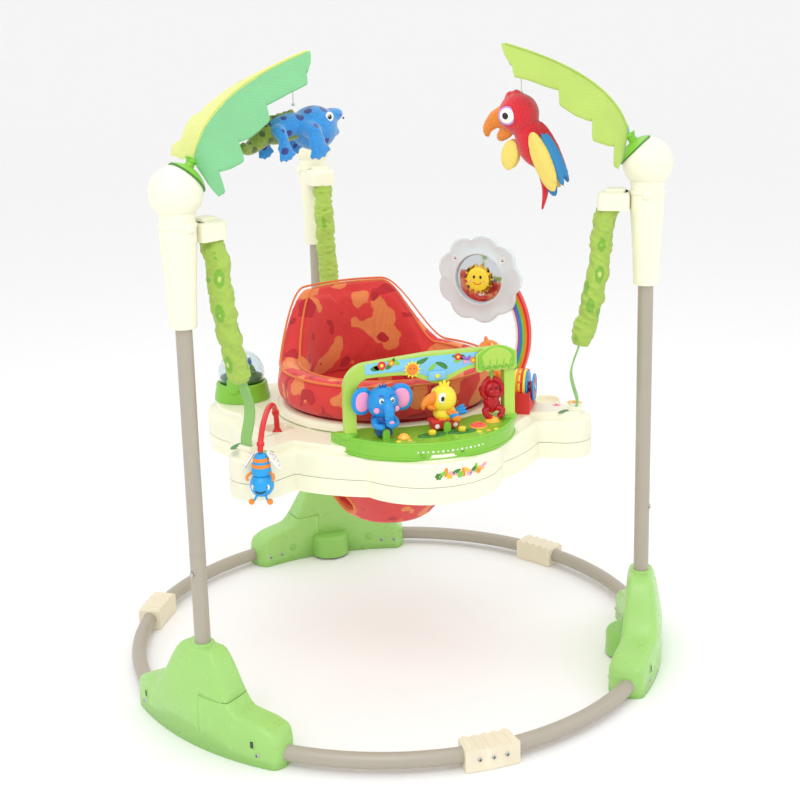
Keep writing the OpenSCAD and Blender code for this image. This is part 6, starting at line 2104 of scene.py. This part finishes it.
    def rainbow(self, at: Place) -> None:
        """Arm of six painted bands that stands behind the mirror, with a foot on the deck."""
        form = Form()
        for k in range(6):
            r0, r1 = 121 + 4.0 * k, 121 + 4.0 * (k + 1) - 0.05
            low = 180 + math.degrees(math.asin((64 - 0.5) / (r0 + 2)))
            a = np.linspace(133, low, 54)
            lift = 0.5 if k % 2 else 0.0
            rows = [np.stack([60 + r * cosd(a), np.full(54, y), -92 + r * sind(a)], 1) for r,
                    y in ((r0, -5.4 + lift), (r0 + 0.5, -5.0 + lift), (r1 - 0.5, -5.0 + lift),
                          (r1, -5.4 + lift), (r1, -14.6 - lift), (r1 - 0.5, -15.1 - lift),
                          (r0 + 0.5, -15.1 - lift), (r0, -14.6 - lift))]
            form.grid(np.stack(rows, 1), at, caps="se", paint=k)
        foot = rounded(-24, 24, -9, 9, 5.0, 5)
        form.slab(foot, -155.9, -149.5, at.move(-58, -10.5, 0), 2.0, 0.4, paint=5)
        make(form, "rainbow_bands", "tray", [WHITE, PURPLE, BLUE, LEAF_GREEN, ORANGE, SCARLET],
             ("rainbow_arm",))

    def sun(self, at: Place) -> None:
        """Spinning sun with fourteen rays, cheeks, eyes and a smile."""
        face = at.spin("z", 180).spin("x", 90).stretch(1.3, 1.3, 1.0)
        form = Form()
        form.slab(rays_outline(14.5, 21.0, 14), 2.4, 6.0, face, 1.0, 0.6, paint=1)
        form.grid(lathe(filleted([(0.1, 2.2), (15.0, 2.2), (15.2, 6.4), (12.5, 8.6), (0.1, 9.6)],
                                 [0, 0.5, 1.8, 3, 0], 5), 56), face, paint=0)
        for s in (-1, 1):
            form.ball((1.7, 2.3, 1.0, 10, 16), face.move(s * 4.4, 3.0, 9.0), paint=3)
            form.ball((2.8, 2.4, 0.9, 10, 16), face.move(s * 8.2, -2.2, 8.1), paint=2)
        form.limb([(-5.0, -3.6, 8.9), (-2.6, -6.0, 8.7), (2.6, -6.0, 8.7), (5.0, -3.6, 8.9)], 18, 0.7, 8,
                  face, 4)
        form.grid(lathe([(0.1, -4.4), (2.1, -4.4), (2.1, 3.0), (0.1, 3.0)], 24), face, paint=0)
        make(form, "sun_spinner_face", "sun", [YELLOW, AMBER, PINK, BLACK, SCARLET],
             ("sun_spinner",))

    def tiger(self, at: Place) -> None:
        """Orange tiger with navy stripes, ring ears and a pale muzzle, on a swivel pin."""
        form = Form()
        form.grid(lathe([(0.1, -11), (4.6, -11), (5.0, -10.4), (5.0, 2.0), (0.1, 2.0)], 28), at, paint=0)
        body = filleted([(0.1, 0.6), (14.8, 0.6), (16.4, 6), (16.6, 18), (14, 26), (0.1, 30)],
                        [0, 1.5, 4, 5, 4, 0], 5)
        form.grid(lathe(body, 48), at, paint=0)
        form.ball((22, 20, 20.5, 28, 44), at.move(0, 0, 44), paint=0)
        for s in (-1, 1):
            form.ball((8.0, 3.4, 8.4, 16, 24), at.move(s * 17, 2, 59), paint=0)
            form.ball((4.8, 2.6, 5.0, 14, 20), at.move(s * 17, -0.8, 59), paint=2)
            form.ball((7.0, 4.6, 5.6, 14, 20), at.move(s * 6, 16.0, 37), paint=2)
            form.ball((7.0, 4.6, 5.6, 14, 20), at.move(s * 6, -16.0, 37), paint=2)
            eye(form, at.move(s * 8.0, -17.4, 48), 3.2, 3, 4)
            for k in range(3):
                turn = 58 + 20 * k
                a = np.linspace(-34, 30, 20) + 12
                path = np.stack([s * (22.15 * cosd(a) * cosd(turn - 90)), 20.15 * cosd(a) * sind(turn - 90)
                                 * -1, 44 + 20.6 * sind(a)], 1)
                form.grid(tube(path, 1.7 * np.sin(np.linspace(0.25, np.pi - 0.25, 20)) + 0.2, 10), at,
                          caps="se", paint=1)
            form.limb([(s * 10, -9, 15), (s * 12, -15, 9), (s * 10, -18, 4.6)], 12, (5.4, 4.4), 14, at)
        for z in (10.0, 17.0, 24.0):
            ring = np.linspace(25, 155, 30)
            form.grid(tube(np.stack([16.3 * cosd(ring), 16.3 * sind(ring), z + 0 * ring], 1), 1.3, 10), at,
                      caps="se", paint=1)
        form.ball((3.4, 2.6, 2.4, 12, 16), at.move(0, -20.4, 40.6), paint=4)
        make(form, "tiger_toy", "tiger", [ORANGE, NAVY, CREAM, WHITE, BLACK], ("tiger",))

    def bug(self, at: Place) -> None:
        """Red bent stem from its socket over the tray's edge, and the upside-down bug that turns on it."""
        form = Form()
        k = np.linspace(0, 1, 70)
        path = np.stack([142 * (0.5 - 0.5 * cosd(180 * k**0.9)), 0 * k, self.deck_z - 2 + 46
                         * sind(180 * k**0.75) + 14 * k], 1)
        form.grid(tube(path, 4.0, 18, up=(0, 1, 0)), at, caps="se")
        plug = filleted([(0.1, 372.2), (5.8, 372.2), (5.8, 379), (9.2, 379.2), (9.0, 383), (6.2, 387),
                         (4.8, 391), (0.1, 391)], [0, 0.4, 0.5, 1.4, 2, 2, 1, 0], 4)
        form.grid(lathe(plug, 36), at)
        for s in (0.12, 0.9):
            i = int(s * 69)
            step = path[i + 1] - path[i - 1]
            tilt = math.degrees(math.atan2(step[0], step[2]))
            form.grid(lathe(filleted([(3.6, -3), (5.4, -2.6), (5.4, 2.6), (3.6, 3)], 0.8), 24),
                      at.move(*path[i]).spin("y", tilt))
        make(form, "bug_stem_tube", "bug", [SCARLET], ("bug_stem",))
        top = self.deck_z + 11
        b = at.move(142, 0, top)
        form = Form()
        body = filleted([(0.1, -31), (13.0, -31), (13.8, -26), (11.5, -15), (9.0, -6), (7.0, -1.5),
                         (0.1, -0.4)], [0, 2, 3, 4, 3, 2, 0], 5)
        form.grid(lathe(body, 48), b, paint=0)
        for z, r in ((-9.5, 10.2), (-17.5, 12.2)):
            form.grid(lathe(filleted([(r - 2.5, z - 3), (r + 0.7, z - 2.4), (r + 0.5, z + 2.2),
                                      (r - 2.5, z + 3)], 1.2), 44), b, paint=1)
        form.ball((17.5, 16.5, 17.5, 26, 40), b.move(0, 0, -45), paint=0)
        for s in (-1, 1):
            wing = b.move(-6, s * 17.5, -13).spin("x", s * 34).spin("y", 16)
            form.ball((13.0, 2.2, 17.0, 16, 26), wing, paint=2)
            for dx, dz, r in ((-4, 6, 2.6), (4, 4, 2.2), (-2, -5, 2.8), (5, -8, 1.9), (0, 11, 1.8),
                              (-8, -1, 1.9)):
                form.ball((r, 2.6, r, 10, 14), wing.move(dx, 0, dz), paint=3)
            form.limb([(8, s * 5, -56), (14, s * 9, -63), (15, s * 12, -66)], 12, 1.6, 10, b)
            form.ball((4.2, 4.2, 4.2, 14, 18), b.move(15, s * 12.5, -64.5), paint=1)
            white = b.move(12.0, s * 8.0, -45).spin("z", 90 - s * 4)
            eye(form, white, 4.4, 2, 4)
            form.limb([(4, s * 12, -27), (10, s * 18, -30), (13, s * 17, -36)], 12, 2.0, 10, b, 1)
        form.limb([(15.4, -7, -50), (17.2, -2.5, -52), (17.2, 2.5, -52), (15.4, 7, -50)], 16, 0.8, 8, b, 4)
        make(form, "bug_toy", "bug", [SKYBLUE, ORANGE, WHITE, LILAC, BLACK], ("bug",))


def main() -> None:
    """Builds the jumper, one sub-assembly after another."""
    logging.basicConfig(level=logging.INFO, format="%(name)s: %(message)s")
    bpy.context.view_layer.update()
    Studio().build()
    for part in (FloorFrame(), Suspension(), Canopy(), Tray(), Seat(), Console(), TrayToys()):
        LOG.info("building %s", type(part).__name__)
        part.build()


if __name__ == "__main__":
    main()
